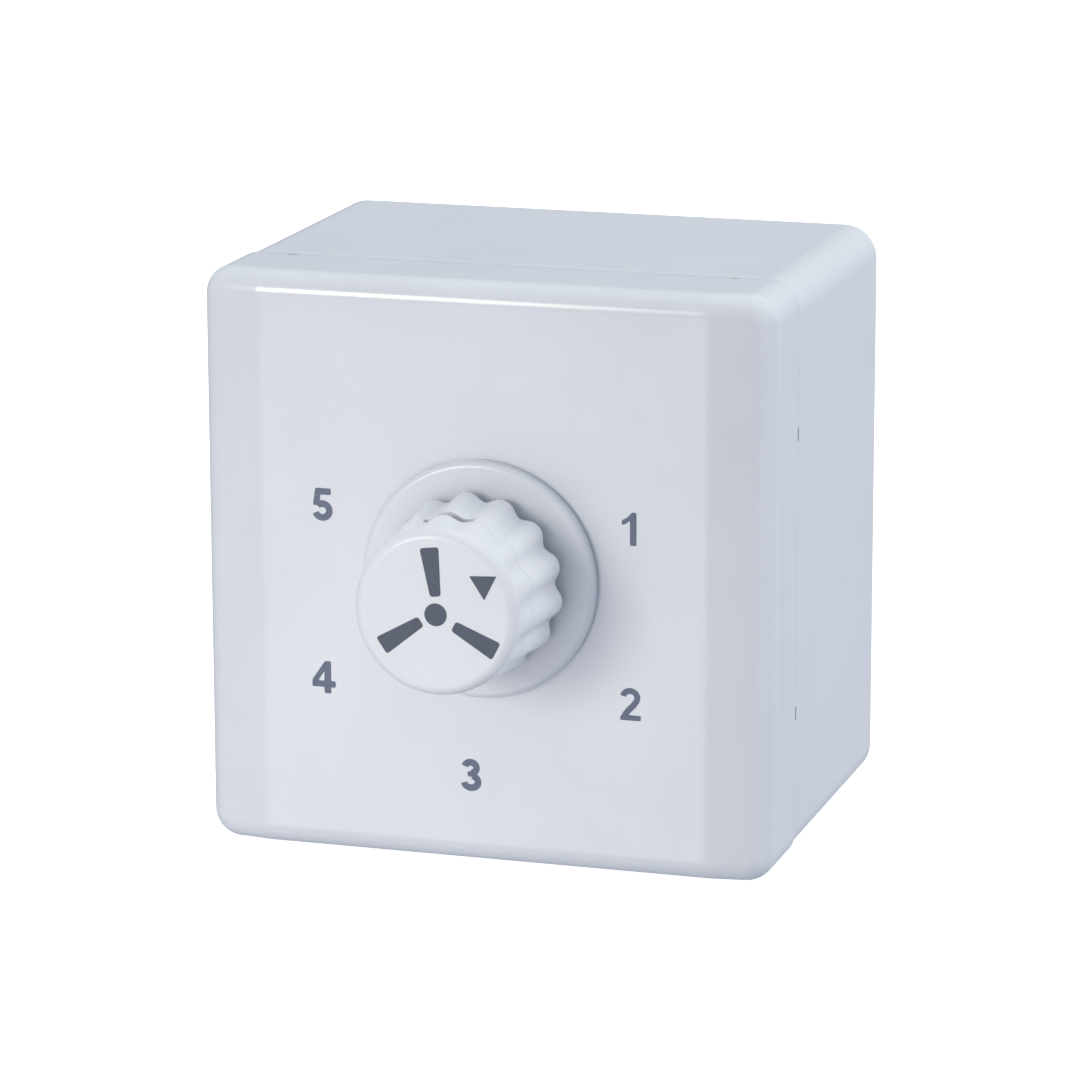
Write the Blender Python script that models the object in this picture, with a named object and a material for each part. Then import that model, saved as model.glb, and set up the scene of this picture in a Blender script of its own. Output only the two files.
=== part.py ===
"""Wall-mounted five-step fan speed controller in a deep surface box, as an assembly of separate pieces.

Metres, +Z up. The origin is the centre of the box's back face, which lies on the wall (the plane Y = 0).
The knob faces -Y. The knob, shaft and switch rotor turn about the Y axis; seen from the front a positive
turn about +Y is clockwise. Off is straight up, and each of the five speeds is one 60 degree step further.
"""

import math

import bmesh
import bpy
from mathutils import Matrix, Vector

MM = 0.001

# ---------------------------------------------------------------- driving sizes
GAP = 0.3 * MM  # between pieces that touch on the real object

WIDTH = 86.0 * MM
HEIGHT = 86.0 * MM
BOX_DEPTH = 46.7 * MM
COVER_DEPTH = 15.0 * MM

BOX_WALL = 2.2 * MM
BOX_BACK = 2.5 * MM
BOX_RADIUS = 5.0 * MM
BOX_BACK_EDGE = 0.6 * MM

COVER_WALL = 2.2 * MM
COVER_RADIUS = 4.2 * MM
COVER_EDGE = 3.2 * MM  # rounding from the face into the sides
BAND_WIDTH = 9.5 * MM  # the sloping band at each side of the face
BAND_DROP = 1.3 * MM

WALL_SLOT_Z = 30.0 * MM
WALL_SLOT_HALF = 4.2 * MM
WALL_SLOT_RADIUS = 2.2 * MM
KNOCKOUT_RADIUS = 10.0 * MM
KNOCKOUT_WEB = 1.2 * MM
ENTRY_RADIUS = 4.75 * MM  # rear cable entry
ENTRY_Z = -34.5 * MM
GROMMET_WALL = 1.25 * MM
GROMMET_FLANGE = 1.05 * MM

HOOK_Z = 20.7 * MM  # snap hooks and the pry slots beside them
HOOK_WIDTH = 5.0 * MM
HOOK_THICK = 1.5 * MM
HOOK_REACH = 5.5 * MM  # past the box's front edge
HOOK_BARB = 0.5 * MM
PRY_SLOT_DEPTH = 0.5 * MM

STEP_ANGLE = 60.0  # degrees between speeds
REST_SPEED = 1  # the speed that the knob is set to at rest

KNOB_STANDOFF = 3.5 * MM  # from the cover's face to the knob's back edge
KNOB_LENGTH = 18.0 * MM
KNOB_BACK_RADIUS = 13.5 * MM
KNOB_FRONT_RADIUS = 11.95 * MM
KNOB_FLUTES = 14
KNOB_FLUTE_DEPTH = 1.15 * MM
KNOB_FLUTE_START = 1.6 * MM  # from the knob's face to where the flutes run out
KNOB_WALL = 1.7 * MM
KNOB_HUB_RADIUS = 4.9 * MM
CAP_LENGTH = 7.0 * MM
CAP_EDGE = 1.5 * MM
CAP_SPIGOT_RADIUS = 8.6 * MM
CAP_SPIGOT_LENGTH = 1.7 * MM
CAP_PRY_DEPTH = 1.6 * MM  # the notch that a blade lifts the cap by
CAP_PRY_ANGLE = -62.0  # degrees from the pointer's side of the knob
CAP_PRY_HALF = 18.3

DIAL_RADIUS = 17.5 * MM
DIAL_THICK = 2.0 * MM
DIAL_EDGE = 0.9 * MM
DIAL_NECK_RADIUS = 11.2 * MM
DIAL_NECK_WALL = 1.6 * MM
DIAL_BARB = 0.7 * MM
DIAL_BORE_RADIUS = 5.6 * MM

SHAFT_RADIUS = 3.0 * MM
SHAFT_FLAT = 0.9 * MM  # depth of the D flat
SHAFT_CLEARANCE = 0.1 * MM
FIXED_CLEARANCE = 0.25 * MM  # pieces pressed or keyed together

FRAME_WIDTH = 72.0 * MM
FRAME_HEIGHT = 74.0 * MM
FRAME_THICK = 1.2 * MM
FRAME_SINK = 1.3 * MM  # front of the frame behind the box's front edge
FRAME_LIP = 4.0 * MM
LUG_SPACING = 60.3 * MM  # the standard spacing of accessory fixing screws
LUG_RADIUS = 4.6 * MM
FRAME_SCREW_RADIUS = 1.75 * MM
FRAME_SCREW_LENGTH = 12.0 * MM
INSERT_WALL = 0.75 * MM
INSERT_LENGTH = 8.0 * MM

SWITCH_SIZE = 34.0 * MM
SWITCH_DEPTH = 12.9 * MM
SWITCH_WALL = 2.0 * MM
SWITCH_CAVITY_RADIUS = 14.5 * MM
SWITCH_BASE_THICK = 2.0 * MM
BUSH_RADIUS = 4.75 * MM
BUSH_LENGTH = 12.4 * MM
BUSH_FLANGE_RADIUS = 7.0 * MM
BUSH_FLANGE_THICK = 1.5 * MM
NUT_ACROSS = 14.0 * MM
NUT_THICK = 3.0 * MM
WASHER_THICK = 0.8 * MM
INDEX_RADIUS = 10.4 * MM
INDEX_NOTCH = 1.6 * MM
INDEX_THICK = 3.0 * MM
ROTOR_RADIUS = 12.0 * MM
ROTOR_THICK = 3.0 * MM
STEP_Y_DEPTH = 5.6 * MM  # of the narrow part of the cavity, around the index wheel
BALL_RADIUS = 1.5 * MM
DETENT_ANGLE = 45.0
DETENT_COIL_RADIUS = 1.15 * MM
DETENT_WIRE_RADIUS = 0.25 * MM
DETENT_TURNS = 4
STOP_REACH = 2.0 * MM
STOP_ANGLE = 150.0  # the cover's stop, clockwise from the top
STOP_TAB_HALF = 10.0
RIVET_SPREAD = 14.3 * MM
CONTACT_RADIUS = 10.9 * MM  # middle of each fixed contact's pad
CONTACT_LENGTH = 4.0 * MM
CONTACT_WIDTH = 3.2 * MM
CONTACT_THICK = 0.5 * MM
TAB_REACH = 22.0 * MM
WIPER_THICK = 0.6 * MM

CORE_LENGTH = 57.0 * MM  # along Z
CORE_WIDTH = 47.5 * MM  # along X
CORE_STACK = 12.0 * MM  # along Y
CORE_LEG = 9.5 * MM
COIL_FRONT_GAP = 2.4 * MM  # from the solder tabs to the coil
COIL_BACK_GAP = 1.0 * MM  # from the coil to the box's back wall
BOBBIN_WALL = 1.1 * MM
BOBBIN_FLANGE = 1.5 * MM
TAPE_THICK = 0.3 * MM
BRACKET_THICK = 1.0 * MM
BRACKET_WIDTH = 24.0 * MM
BRACKET_FOOT = 6.2 * MM
EARTH_AT = (-30.0 * MM, -20.0 * MM)

CORE_BOLT_RADIUS = 1.5 * MM
RIVET_RADIUS = 1.2 * MM

BLOCK_X = 25.5 * MM  # inner side of the terminal block
BLOCK_WIDTH = 10.0 * MM
BLOCK_DEPTH = 13.0 * MM
BLOCK_PITCH = 10.0 * MM
BLOCK_Z = -18.0 * MM
CLAMP_SIDE = 5.2 * MM
CLAMP_BORE_RADIUS = 1.7 * MM
SMALL_SCREW_RADIUS = 1.2 * MM

LEAD_RADIUS = 0.7 * MM
LEAD_BEND = 1.6 * MM

# ---------------------------------------------------------------- planes worked out from the sizes
BOX_FRONT_Y = -BOX_DEPTH
COVER_BACK_Y = BOX_FRONT_Y - GAP
FACE_Y = COVER_BACK_Y - COVER_DEPTH
COVER_INSIDE_Y = FACE_Y + COVER_WALL
BAND_START = WIDTH / 2 - BAND_WIDTH

FRAME_FRONT_Y = BOX_FRONT_Y + FRAME_SINK
FRAME_BACK_Y = FRAME_FRONT_Y + FRAME_THICK
LUG_FRONT_Y = FRAME_BACK_Y + GAP
LUG_X = LUG_SPACING / 2

KNOB_BACK_Y = FACE_Y - KNOB_STANDOFF
KNOB_FRONT_Y = KNOB_BACK_Y - KNOB_LENGTH
CAP_BACK_Y = KNOB_FRONT_Y + CAP_LENGTH
KNOB_SPLIT_Y = CAP_BACK_Y + GAP

SWITCH_FRONT_Y = FRAME_BACK_Y + GAP
SWITCH_BACK_Y = SWITCH_FRONT_Y + SWITCH_DEPTH
CAVITY_FRONT_Y = SWITCH_FRONT_Y + SWITCH_WALL
BASE_FRONT_Y = SWITCH_BACK_Y + GAP
BASE_BACK_Y = BASE_FRONT_Y + SWITCH_BASE_THICK
BUSH_BACK_Y = CAVITY_FRONT_Y + GAP + BUSH_FLANGE_THICK
BUSH_FRONT_Y = CAVITY_FRONT_Y + GAP - BUSH_LENGTH
INDEX_FRONT_Y = BUSH_BACK_Y + GAP
INDEX_BACK_Y = INDEX_FRONT_Y + INDEX_THICK
CONTACT_FRONT_Y = BASE_FRONT_Y - GAP - CONTACT_THICK
WIPER_BACK_Y = CONTACT_FRONT_Y - GAP
WIPER_FRONT_Y = WIPER_BACK_Y - WIPER_THICK
ROTOR_BACK_Y = WIPER_FRONT_Y - GAP
ROTOR_FRONT_Y = ROTOR_BACK_Y - ROTOR_THICK
TAB_FRONT_Y = BASE_BACK_Y + GAP

SHAFT_FRONT_Y = KNOB_SPLIT_Y + CAP_SPIGOT_LENGTH + 3 * GAP
SHAFT_BACK_Y = BASE_BACK_Y + GAP

COIL_BACK_Y = -BOX_BACK - COIL_BACK_GAP
COIL_FRONT_Y = TAB_FRONT_Y + CONTACT_THICK + COIL_FRONT_GAP
COIL_OVERHANG = (COIL_BACK_Y - COIL_FRONT_Y - CORE_STACK) / 2  # past each side of the stack
CORE_BACK_Y = COIL_BACK_Y - COIL_OVERHANG
CORE_FRONT_Y = CORE_BACK_Y - CORE_STACK
CORE_MID_Y = (CORE_BACK_Y + CORE_FRONT_Y) / 2
WINDOW_LENGTH = CORE_WIDTH - 2 * CORE_LEG
INSERT_RADIUS = FRAME_SCREW_RADIUS + GAP + INSERT_WALL
INDEX_ROOM_RADIUS = INDEX_RADIUS + 0.8 * MM
STEP_Y = CAVITY_FRONT_Y + STEP_Y_DEPTH
BALL_AT = INDEX_RADIUS + GAP + BALL_RADIUS
CONTACT_OUTER = CONTACT_RADIUS + CONTACT_LENGTH / 2
BUSH_HOLE = BUSH_RADIUS + GAP
REST_TURN = REST_SPEED * STEP_ANGLE
STOP_RIB_HALF = STEP_ANGLE / 2 - STOP_TAB_HALF - math.degrees(GAP / ROTOR_RADIUS)
BLOCK_BACK_Y = FRAME_BACK_Y + GAP + BLOCK_DEPTH
CLAMP_Y = BLOCK_BACK_Y - BLOCK_DEPTH / 2 + 0.4 * MM
RIVET_X = CORE_WIDTH / 2 - CORE_LEG / 2
RIVET_Z = CORE_LENGTH / 2 - CORE_LEG / 2
BRACKET_RIVET_Z = CORE_LENGTH / 2 + BRACKET_FOOT / 2
BRACKET_FRONT_Y = CORE_FRONT_Y - GAP - BRACKET_THICK


# ---------------------------------------------------------------- materials
def material(name, colour, roughness, metallic=0.0):
    made = bpy.data.materials.new(name)
    made.use_nodes = True
    shader = made.node_tree.nodes["Principled BSDF"]
    shader.inputs["Base Color"].default_value = (*colour, 1.0)
    shader.inputs["Roughness"].default_value = roughness
    shader.inputs["Metallic"].default_value = metallic
    made.diffuse_color = (*colour, 1.0)
    return made


def make_materials():
    return {
        "shell": material("white_shell", (0.80, 0.82, 0.86), 0.25),
        "knob": material("white_knob", (0.78, 0.80, 0.84), 0.32),
        "zinc": material("zinc_steel", (0.62, 0.63, 0.64), 0.35, 1.0),
        "lamination": material("lamination_steel", (0.23, 0.24, 0.26), 0.5, 1.0),
        "brass": material("brass", (0.78, 0.60, 0.28), 0.3, 1.0),
        "spring": material("spring_bronze", (0.66, 0.48, 0.26), 0.35, 1.0),
        "copper": material("enamelled_copper", (0.55, 0.22, 0.10), 0.3, 1.0),
        "nylon": material("natural_nylon", (0.78, 0.76, 0.68), 0.45),
        "phenolic": material("brown_phenolic", (0.24, 0.12, 0.06), 0.5),
        "tape": material("yellow_tape", (0.80, 0.62, 0.12), 0.4),
        "rubber": material("dark_rubber", (0.04, 0.04, 0.04), 0.7),
        "lead": material("lead_insulation", (0.55, 0.05, 0.04), 0.4),
    }


# ---------------------------------------------------------------- building tools
def finished(name, bm, mat, smooth=False):
    """Turns a bmesh into a named object with outward faces, one material and, if round, smooth shading."""
    bmesh.ops.recalc_face_normals(bm, faces=bm.faces)
    mesh = bpy.data.meshes.new(name)
    bm.to_mesh(mesh)
    bm.free()
    made = bpy.data.objects.new(name, mesh)
    bpy.context.scene.collection.objects.link(made)
    mesh.materials.append(mat)
    if smooth:
        mesh.shade_smooth()
        mesh.set_sharp_from_angle(angle=math.radians(35))
    return made


def block(name, low, high, mat):
    """A rectangular block between two corners."""
    bm = bmesh.new()
    size = Vector(high) - Vector(low)
    middle = (Vector(high) + Vector(low)) / 2
    bmesh.ops.create_cube(bm, size=1.0, matrix=Matrix.Translation(middle) @ Matrix.Diagonal((*size, 1.0)))
    return finished(name, bm, mat)


def prism(name, outline, y_from, y_to, mat, smooth=False):
    """An (x, z) outline extruded along Y."""
    bm = bmesh.new()
    face = bm.faces.new([bm.verts.new((x, y_from, z)) for x, z in outline])
    grown = bmesh.ops.extrude_face_region(bm, geom=[face])
    moved = [v for v in grown["geom"] if isinstance(v, bmesh.types.BMVert)]
    bmesh.ops.translate(bm, verts=moved, vec=(0.0, y_to - y_from, 0.0))
    return finished(name, bm, mat, smooth)


def side_prism(name, outline, x_from, x_to, mat):
    """A (y, z) outline extruded along X."""
    bm = bmesh.new()
    face = bm.faces.new([bm.verts.new((x_from, y, z)) for y, z in outline])
    grown = bmesh.ops.extrude_face_region(bm, geom=[face])
    moved = [v for v in grown["geom"] if isinstance(v, bmesh.types.BMVert)]
    bmesh.ops.translate(bm, verts=moved, vec=(x_to - x_from, 0.0, 0.0))
    return finished(name, bm, mat)


def turned(name, profile, mat, at=(0.0, 0.0), steps=32, smooth=True):
    """A closed (radius, y) profile spun about a line parallel to Y through (x, z) = at."""
    bm = bmesh.new()
    verts = [bm.verts.new((radius, y, 0.0)) for radius, y in profile]
    edges = [bm.edges.new((a, b)) for a, b in zip(verts, verts[1:] + verts[:1]) if a.co.x + b.co.x > 0]
    bmesh.ops.spin(
        bm,
        geom=edges,
        cent=(0.0, 0.0, 0.0),
        axis=(0.0, 1.0, 0.0),
        angle=math.tau,
        steps=steps,
        use_merge=True,
    )
    bmesh.ops.remove_doubles(bm, verts=bm.verts, dist=1e-7)
    bmesh.ops.translate(bm, verts=bm.verts, vec=(at[0], 0.0, at[1]))
    return finished(name, bm, mat, smooth)


def circle(radius, steps, at=(0.0, 0.0), start=0.0):
    turns = [start + math.tau * i / steps for i in range(steps)]
    return [(at[0] + radius * math.sin(t), at[1] + radius * math.cos(t)) for t in turns]


def rod(name, radius, y_from, y_to, mat, at=(0.0, 0.0), steps=24):
    return prism(name, circle(radius, steps, at), y_from, y_to, mat, smooth=True)


def slot_outline(half_length, radius, at, upright, steps=6):
    """A round-ended slot, upright or level."""
    ends = []
    for side in (1, -1):
        for i in range(steps + 1):
            turn = math.pi * (i / steps - 0.5)
            along = side * (half_length - radius + radius * math.cos(turn))
            across = side * radius * math.sin(turn)
            ends.append((along, across))
    return [(at[0] + (b if upright else a), at[1] + (a if upright else b)) for a, b in ends]


def boolean(target, tool, operation):
    """Keeps a live Boolean on target and hides its tool."""
    step = target.modifiers.new(operation.lower() + "_" + tool.name, "BOOLEAN")
    step.operation = operation
    step.object = tool
    step.solver = "EXACT"
    tool.hide_render = True
    tool.display_type = "WIRE"
    return target


def cut(target, *tools):
    for tool in tools:
        boolean(target, tool, "DIFFERENCE")
    return target


def join(target, *tools):
    for tool in tools:
        boolean(target, tool, "UNION")
    return target


def turn_about_y(target, degrees):
    """Turns a mesh clockwise, seen from the front, about the Y axis."""
    target.data.transform(Matrix.Rotation(math.radians(degrees), 4, "Y"))
    return target


def loft(name, rings, caps, mat, ring_loop=False, smooth=False):
    """Skins rings with equal point counts. caps splits an end ring into faces; a ring loop has no ends."""
    bm = bmesh.new()
    layers = [[bm.verts.new(point) for point in ring] for ring in rings]
    pairs = list(zip(layers, layers[1:]))
    if ring_loop:
        pairs.append((layers[-1], layers[0]))
    for near, far in pairs:
        for i, vert in enumerate(near):
            follow = (i + 1) % len(near)
            bm.faces.new((vert, near[follow], far[follow], far[i]))
    if not ring_loop:
        for layer in (layers[0], layers[-1]):
            for picks in caps:
                bm.faces.new([layer[i] for i in picks])
    return finished(name, bm, mat, smooth)


def corner_arc(centre, radius, start, steps):
    """A quarter arc from start degrees, clockwise from the top, as (x, z)."""
    turns = [math.radians(start + 90.0 * i / steps) for i in range(steps + 1)]
    return [(centre[0] + radius * math.sin(t), centre[1] + radius * math.cos(t)) for t in turns]


def rounded_rectangle(half_x, half_z, radius, steps):
    """(x, z) points clockwise from the top right corner."""
    x, z = half_x - radius, half_z - radius
    points = []
    for centre, start in (((x, z), 0.0), ((x, -z), 90.0), ((-x, -z), 180.0), ((-x, z), 270.0)):
        points += corner_arc(centre, radius, start, steps)
    return points


# ---------------------------------------------------------------- enclosure
def band_drop(x):
    """How far the face falls back at x: nothing in the middle, then an even slope to each side."""
    return BAND_DROP * max(0.0, abs(x) - BAND_START) / BAND_WIDTH


def cover_ring(inset, y, steps=4):
    """The cover's outline drawn in by inset. Its points follow the sloping bands unless it is the back edge."""
    half_x, half_z = WIDTH / 2 - inset, HEIGHT / 2 - inset
    radius = max(COVER_RADIUS - inset, GAP)
    arcs = rounded_rectangle(half_x, half_z, radius, steps)
    right, left = arcs[: 2 * (steps + 1)], arcs[2 * (steps + 1) :]
    outline = [(BAND_START, half_z), *right, (BAND_START, -half_z), (-BAND_START, -half_z), *left]
    outline.append((-BAND_START, half_z))
    follows = y < COVER_BACK_Y - COVER_DEPTH / 2
    return [(x, y + (band_drop(x) if follows else 0.0), z) for x, z in outline]


def front_cover(mats):
    edge = min(COVER_EDGE, COVER_RADIUS - GAP)
    rings = [cover_ring(COVER_WALL, COVER_INSIDE_Y), cover_ring(COVER_WALL, COVER_BACK_Y)]
    rings.append(cover_ring(0.0, COVER_BACK_Y))
    for degrees in (0, 22.5, 45, 67.5, 90):
        turn = math.radians(degrees)
        rings.append(cover_ring(edge * (1 - math.cos(turn)), FACE_Y + edge * (1 - math.sin(turn))))
    count = len(rings[0])
    half = count // 2
    caps = (range(0, half), range(half, count), (0, half - 1, half, count - 1))
    cover = loft("front_cover", rings, caps, mats["shell"])
    hole_radius = DIAL_NECK_RADIUS + GAP
    cut(cover, rod("dial_hole", hole_radius, FACE_Y - MM, COVER_INSIDE_Y + MM, mats["shell"], steps=32))
    for side in (1, -1):
        for level in (1, -1):
            tag = f"{'right' if side > 0 else 'left'}_{'top' if level > 0 else 'bottom'}"
            slot_x = (side * (WIDTH / 2 - COVER_WALL - MM), side * (WIDTH / 2 + MM))
            slot_z = (level * HOOK_Z - HOOK_WIDTH / 2, level * HOOK_Z + HOOK_WIDTH / 2)
            slot = block(
                "pry_slot_" + tag,
                (min(slot_x), COVER_BACK_Y - PRY_SLOT_DEPTH, slot_z[0]),
                (max(slot_x), COVER_BACK_Y + MM, slot_z[1]),
                mats["shell"],
            )
            cut(cover, slot)
            join(cover, snap_hook("snap_hook_" + tag, side, level, mats["shell"]))
    return cover


def snap_hook(name, side, level, mat):
    """A hook that grows from the cover's side wall, passes inside the box wall and catches its pocket."""
    wall_x = WIDTH / 2 - COVER_WALL
    outer_x = WIDTH / 2 - BOX_WALL - GAP
    inner_x = outer_x - HOOK_THICK
    root_y = COVER_BACK_Y - 1.5 * HOOK_REACH
    shoulder_y = COVER_BACK_Y - PRY_SLOT_DEPTH - GAP
    tip_y = BOX_FRONT_Y + HOOK_REACH
    barb_x = WIDTH / 2 - BOX_WALL + HOOK_BARB
    outline = [
        (inner_x, root_y),
        (wall_x + 0.5 * COVER_WALL, root_y),
        (wall_x + 0.5 * COVER_WALL, shoulder_y),
        (outer_x, shoulder_y),
        (outer_x, tip_y - 2.2 * MM),
        (barb_x, tip_y - 1.6 * MM),
        (barb_x, tip_y - 1.0 * MM),
        (outer_x - 0.4 * MM, tip_y),
        (inner_x, tip_y),
    ]
    bm = bmesh.new()
    base_z = level * HOOK_Z - HOOK_WIDTH / 2
    face = bm.faces.new([bm.verts.new((side * x, y, base_z)) for x, y in outline])
    grown = bmesh.ops.extrude_face_region(bm, geom=[face])
    moved = [v for v in grown["geom"] if isinstance(v, bmesh.types.BMVert)]
    bmesh.ops.translate(bm, verts=moved, vec=(0.0, 0.0, HOOK_WIDTH))
    return finished(name, bm, mat)


def surface_box(mats):
    """The deep wall box: rounded walls, frame pillars, earth post, wall slots, knockouts and hook pockets."""

    def ring(inset, y):
        outline = rounded_rectangle(
            WIDTH / 2 - inset, HEIGHT / 2 - inset, max(BOX_RADIUS - inset, GAP), 5
        )
        return [(x, y, z) for x, z in outline]

    rings = [
        ring(BOX_BACK_EDGE, 0.0),
        ring(0.0, -BOX_BACK_EDGE),
        ring(0.0, BOX_FRONT_Y),
        ring(BOX_WALL, BOX_FRONT_Y),
        ring(BOX_WALL, -BOX_BACK),
    ]
    shell = mats["shell"]
    box = loft("surface_box", rings, [range(len(rings[0]))], shell)
    root_y = -BOX_BACK / 2
    inner_x, inner_z = WIDTH / 2 - BOX_WALL, HEIGHT / 2 - BOX_WALL
    for side in (1, -1):
        tag = "right" if side > 0 else "left"
        pillar_x = side * LUG_X
        join(box, rod("pillar_" + tag, LUG_RADIUS, root_y, LUG_FRONT_Y, shell, (pillar_x, 0.0)))
        web_x = sorted((pillar_x + side * LUG_RADIUS / 2, side * (inner_x + BOX_WALL / 2)))
        web = block("pillar_web_" + tag, (web_x[0], LUG_FRONT_Y, -MM), (web_x[1], root_y, MM), shell)
        join(box, web)
    for side in (1, -1):
        tag = "right" if side > 0 else "left"
        bore_back_y = LUG_FRONT_Y + FRAME_SCREW_LENGTH
        bore_radius = INSERT_RADIUS + FIXED_CLEARANCE
        bore_at = (side * LUG_X, 0.0)
        cut(box, rod("pillar_bore_" + tag, bore_radius, LUG_FRONT_Y - MM, bore_back_y, shell, bore_at, 16))
        for level in (1, -1):
            place = tag + ("_top" if level > 0 else "_bottom")
            at = (side * LUG_X, level * WALL_SLOT_Z)
            outline = slot_outline(WALL_SLOT_HALF, WALL_SLOT_RADIUS, at, upright=side > 0)
            cut(box, prism("wall_slot_" + place, outline, -BOX_BACK - MM, MM, shell))
            pocket_x = sorted((side * (inner_x - MM), side * (inner_x + HOOK_BARB + GAP)))
            tip_y = BOX_FRONT_Y + HOOK_REACH
            pocket = block(
                "hook_pocket_" + place,
                (pocket_x[0], tip_y - 2.6 * MM, level * HOOK_Z - HOOK_WIDTH / 2 - GAP),
                (pocket_x[1], tip_y + GAP, level * HOOK_Z + HOOK_WIDTH / 2 + GAP),
                shell,
            )
            cut(box, pocket)
    for level in (1, -1):
        web_z = sorted((level * (inner_z - MM), level * (HEIGHT / 2 - KNOCKOUT_WEB)))
        bm = bmesh.new()
        bmesh.ops.create_cone(
            bm,
            cap_ends=True,
            segments=24,
            radius1=KNOCKOUT_RADIUS,
            radius2=KNOCKOUT_RADIUS,
            depth=web_z[1] - web_z[0],
            matrix=Matrix.Translation((0.0, -BOX_DEPTH / 2, sum(web_z) / 2)),
        )
        cut(box, finished(f"knockout_{'top' if level > 0 else 'bottom'}", bm, shell))
    cut(box, rod("rear_entry", ENTRY_RADIUS, -BOX_BACK - MM, MM, shell, (0.0, ENTRY_Z)))
    return box


def cable_grommet(mats):
    outer = ENTRY_RADIUS - GAP
    inner = outer - GROMMET_WALL
    flange_y = -BOX_BACK - GAP
    profile = [
        (inner, -GAP),
        (outer, -GAP),
        (outer, flange_y),
        (outer + GROMMET_FLANGE, flange_y),
        (outer + GROMMET_FLANGE, flange_y - 1.2 * MM),
        (inner, flange_y - 1.2 * MM),
    ]
    return turned("cable_grommet", profile, mats["rubber"], at=(0.0, ENTRY_Z), steps=24)


def dial_collar(mats):
    """The round disc under the knob. Its neck snaps through the cover on four barbed fingers."""
    back_y = FACE_Y - GAP
    front_y = FACE_Y - DIAL_THICK
    hook_y = COVER_INSIDE_Y + GAP
    outer, inner = DIAL_NECK_RADIUS, DIAL_NECK_RADIUS - DIAL_NECK_WALL
    rim = [(DIAL_BORE_RADIUS, back_y), (DIAL_BORE_RADIUS, front_y)]
    for degrees in (0, 45, 90):
        turn = math.radians(degrees)
        centre = DIAL_RADIUS - DIAL_EDGE
        rim.append((centre + DIAL_EDGE * math.sin(turn), front_y + DIAL_EDGE * (1 - math.cos(turn))))
    profile = [
        *rim,
        (DIAL_RADIUS, back_y),
        (outer, back_y),
        (outer, hook_y),
        (outer + DIAL_BARB, hook_y),
        (outer + DIAL_BARB, hook_y + 0.4 * MM),
        (outer, hook_y + 1.8 * MM),
        (inner, hook_y + 1.8 * MM),
        (inner, back_y),
    ]
    dial = turned("dial_collar", profile, mats["shell"], steps=48)
    for i in range(2):
        reach = DIAL_NECK_RADIUS + 2 * DIAL_BARB
        low = (-reach, back_y + 0.6 * MM, -1.2 * MM)
        high = (reach, hook_y + 3.0 * MM, 1.2 * MM)
        slit = block(f"dial_slit_{i + 1}", low, high, mats["shell"])
        cut(dial, turn_about_y(slit, 90.0 * i))
    return dial


# ---------------------------------------------------------------- knob
def fluted(radius, depth, y, points_per_flute=6):
    """A ring with scalloped flutes: depth is how far each valley is cut in. One valley faces the pointer's side."""
    count = KNOB_FLUTES * points_per_flute
    ring = []
    for i in range(count):
        turn = math.tau * i / count
        valley = (0.5 + 0.5 * math.cos(turn * KNOB_FLUTES)) ** 1.4
        reach = radius - depth * valley
        ring.append((reach * math.sin(turn), y, reach * math.cos(turn)))
    return ring


def grip_radius(y):
    share = (y - KNOB_FRONT_Y) / KNOB_LENGTH
    return KNOB_FRONT_RADIUS + (KNOB_BACK_RADIUS - KNOB_FRONT_RADIUS) * share


def grip_ring(y, less=0.0):
    """The knob's outside at y: it tapers towards the face, and the flutes run out behind the face."""
    run = (y - KNOB_FRONT_Y - KNOB_FLUTE_START) / (KNOB_LENGTH - KNOB_FLUTE_START)
    return fluted(grip_radius(y) - less, KNOB_FLUTE_DEPTH * max(0.0, run) ** 0.4, y)


def d_outline(radius, flat, clearance, steps=24):
    """A round outline with one flat on its upper side."""
    limit = radius - flat + clearance
    edge = math.acos(limit / (radius + clearance))
    turns = [edge + (math.tau - 2 * edge) * i / steps for i in range(steps + 1)]
    return [((radius + clearance) * math.sin(t), (radius + clearance) * math.cos(t)) for t in turns]


def knob_body(mats):
    inner = KNOB_BACK_RADIUS - KNOB_FLUTE_DEPTH - KNOB_WALL
    recess_y = KNOB_SPLIT_Y + CAP_SPIGOT_LENGTH + GAP
    web_y = recess_y + 1.6 * MM
    hub_y = KNOB_BACK_Y + 3.0 * MM
    spigot = CAP_SPIGOT_RADIUS + GAP
    span = KNOB_BACK_Y - KNOB_SPLIT_Y
    rings = [
        fluted(KNOB_HUB_RADIUS, 0.0, hub_y),
        fluted(KNOB_HUB_RADIUS, 0.0, web_y),
        fluted(inner, 0.0, web_y),
        fluted(inner, 0.0, KNOB_BACK_Y),
    ]
    for share in (0.0, 0.04, 0.5, 1.0):
        less = 0.3 * MM if share == 0.0 else 0.0
        rings.append(grip_ring(KNOB_BACK_Y - span * share, less))
    rings.append(fluted(spigot, 0.0, KNOB_SPLIT_Y))
    rings.append(fluted(spigot, 0.0, recess_y))
    made = loft("knob_body", rings, [range(len(rings[0]))], mats["knob"], smooth=True)
    bore = prism(
        "knob_bore",
        d_outline(SHAFT_RADIUS, SHAFT_FLAT, FIXED_CLEARANCE),
        recess_y + GAP,
        hub_y + MM,
        mats["knob"],
    )
    notch = prism(
        "cap_pry_notch",
        arc_outline(KNOB_FRONT_RADIUS - 1.6 * MM, KNOB_BACK_RADIUS + MM, CAP_PRY_HALF, CAP_PRY_ANGLE, 6),
        KNOB_SPLIT_Y - GAP,
        KNOB_SPLIT_Y + CAP_PRY_DEPTH,
        mats["knob"],
    )
    return cut(made, bore, notch)


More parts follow.
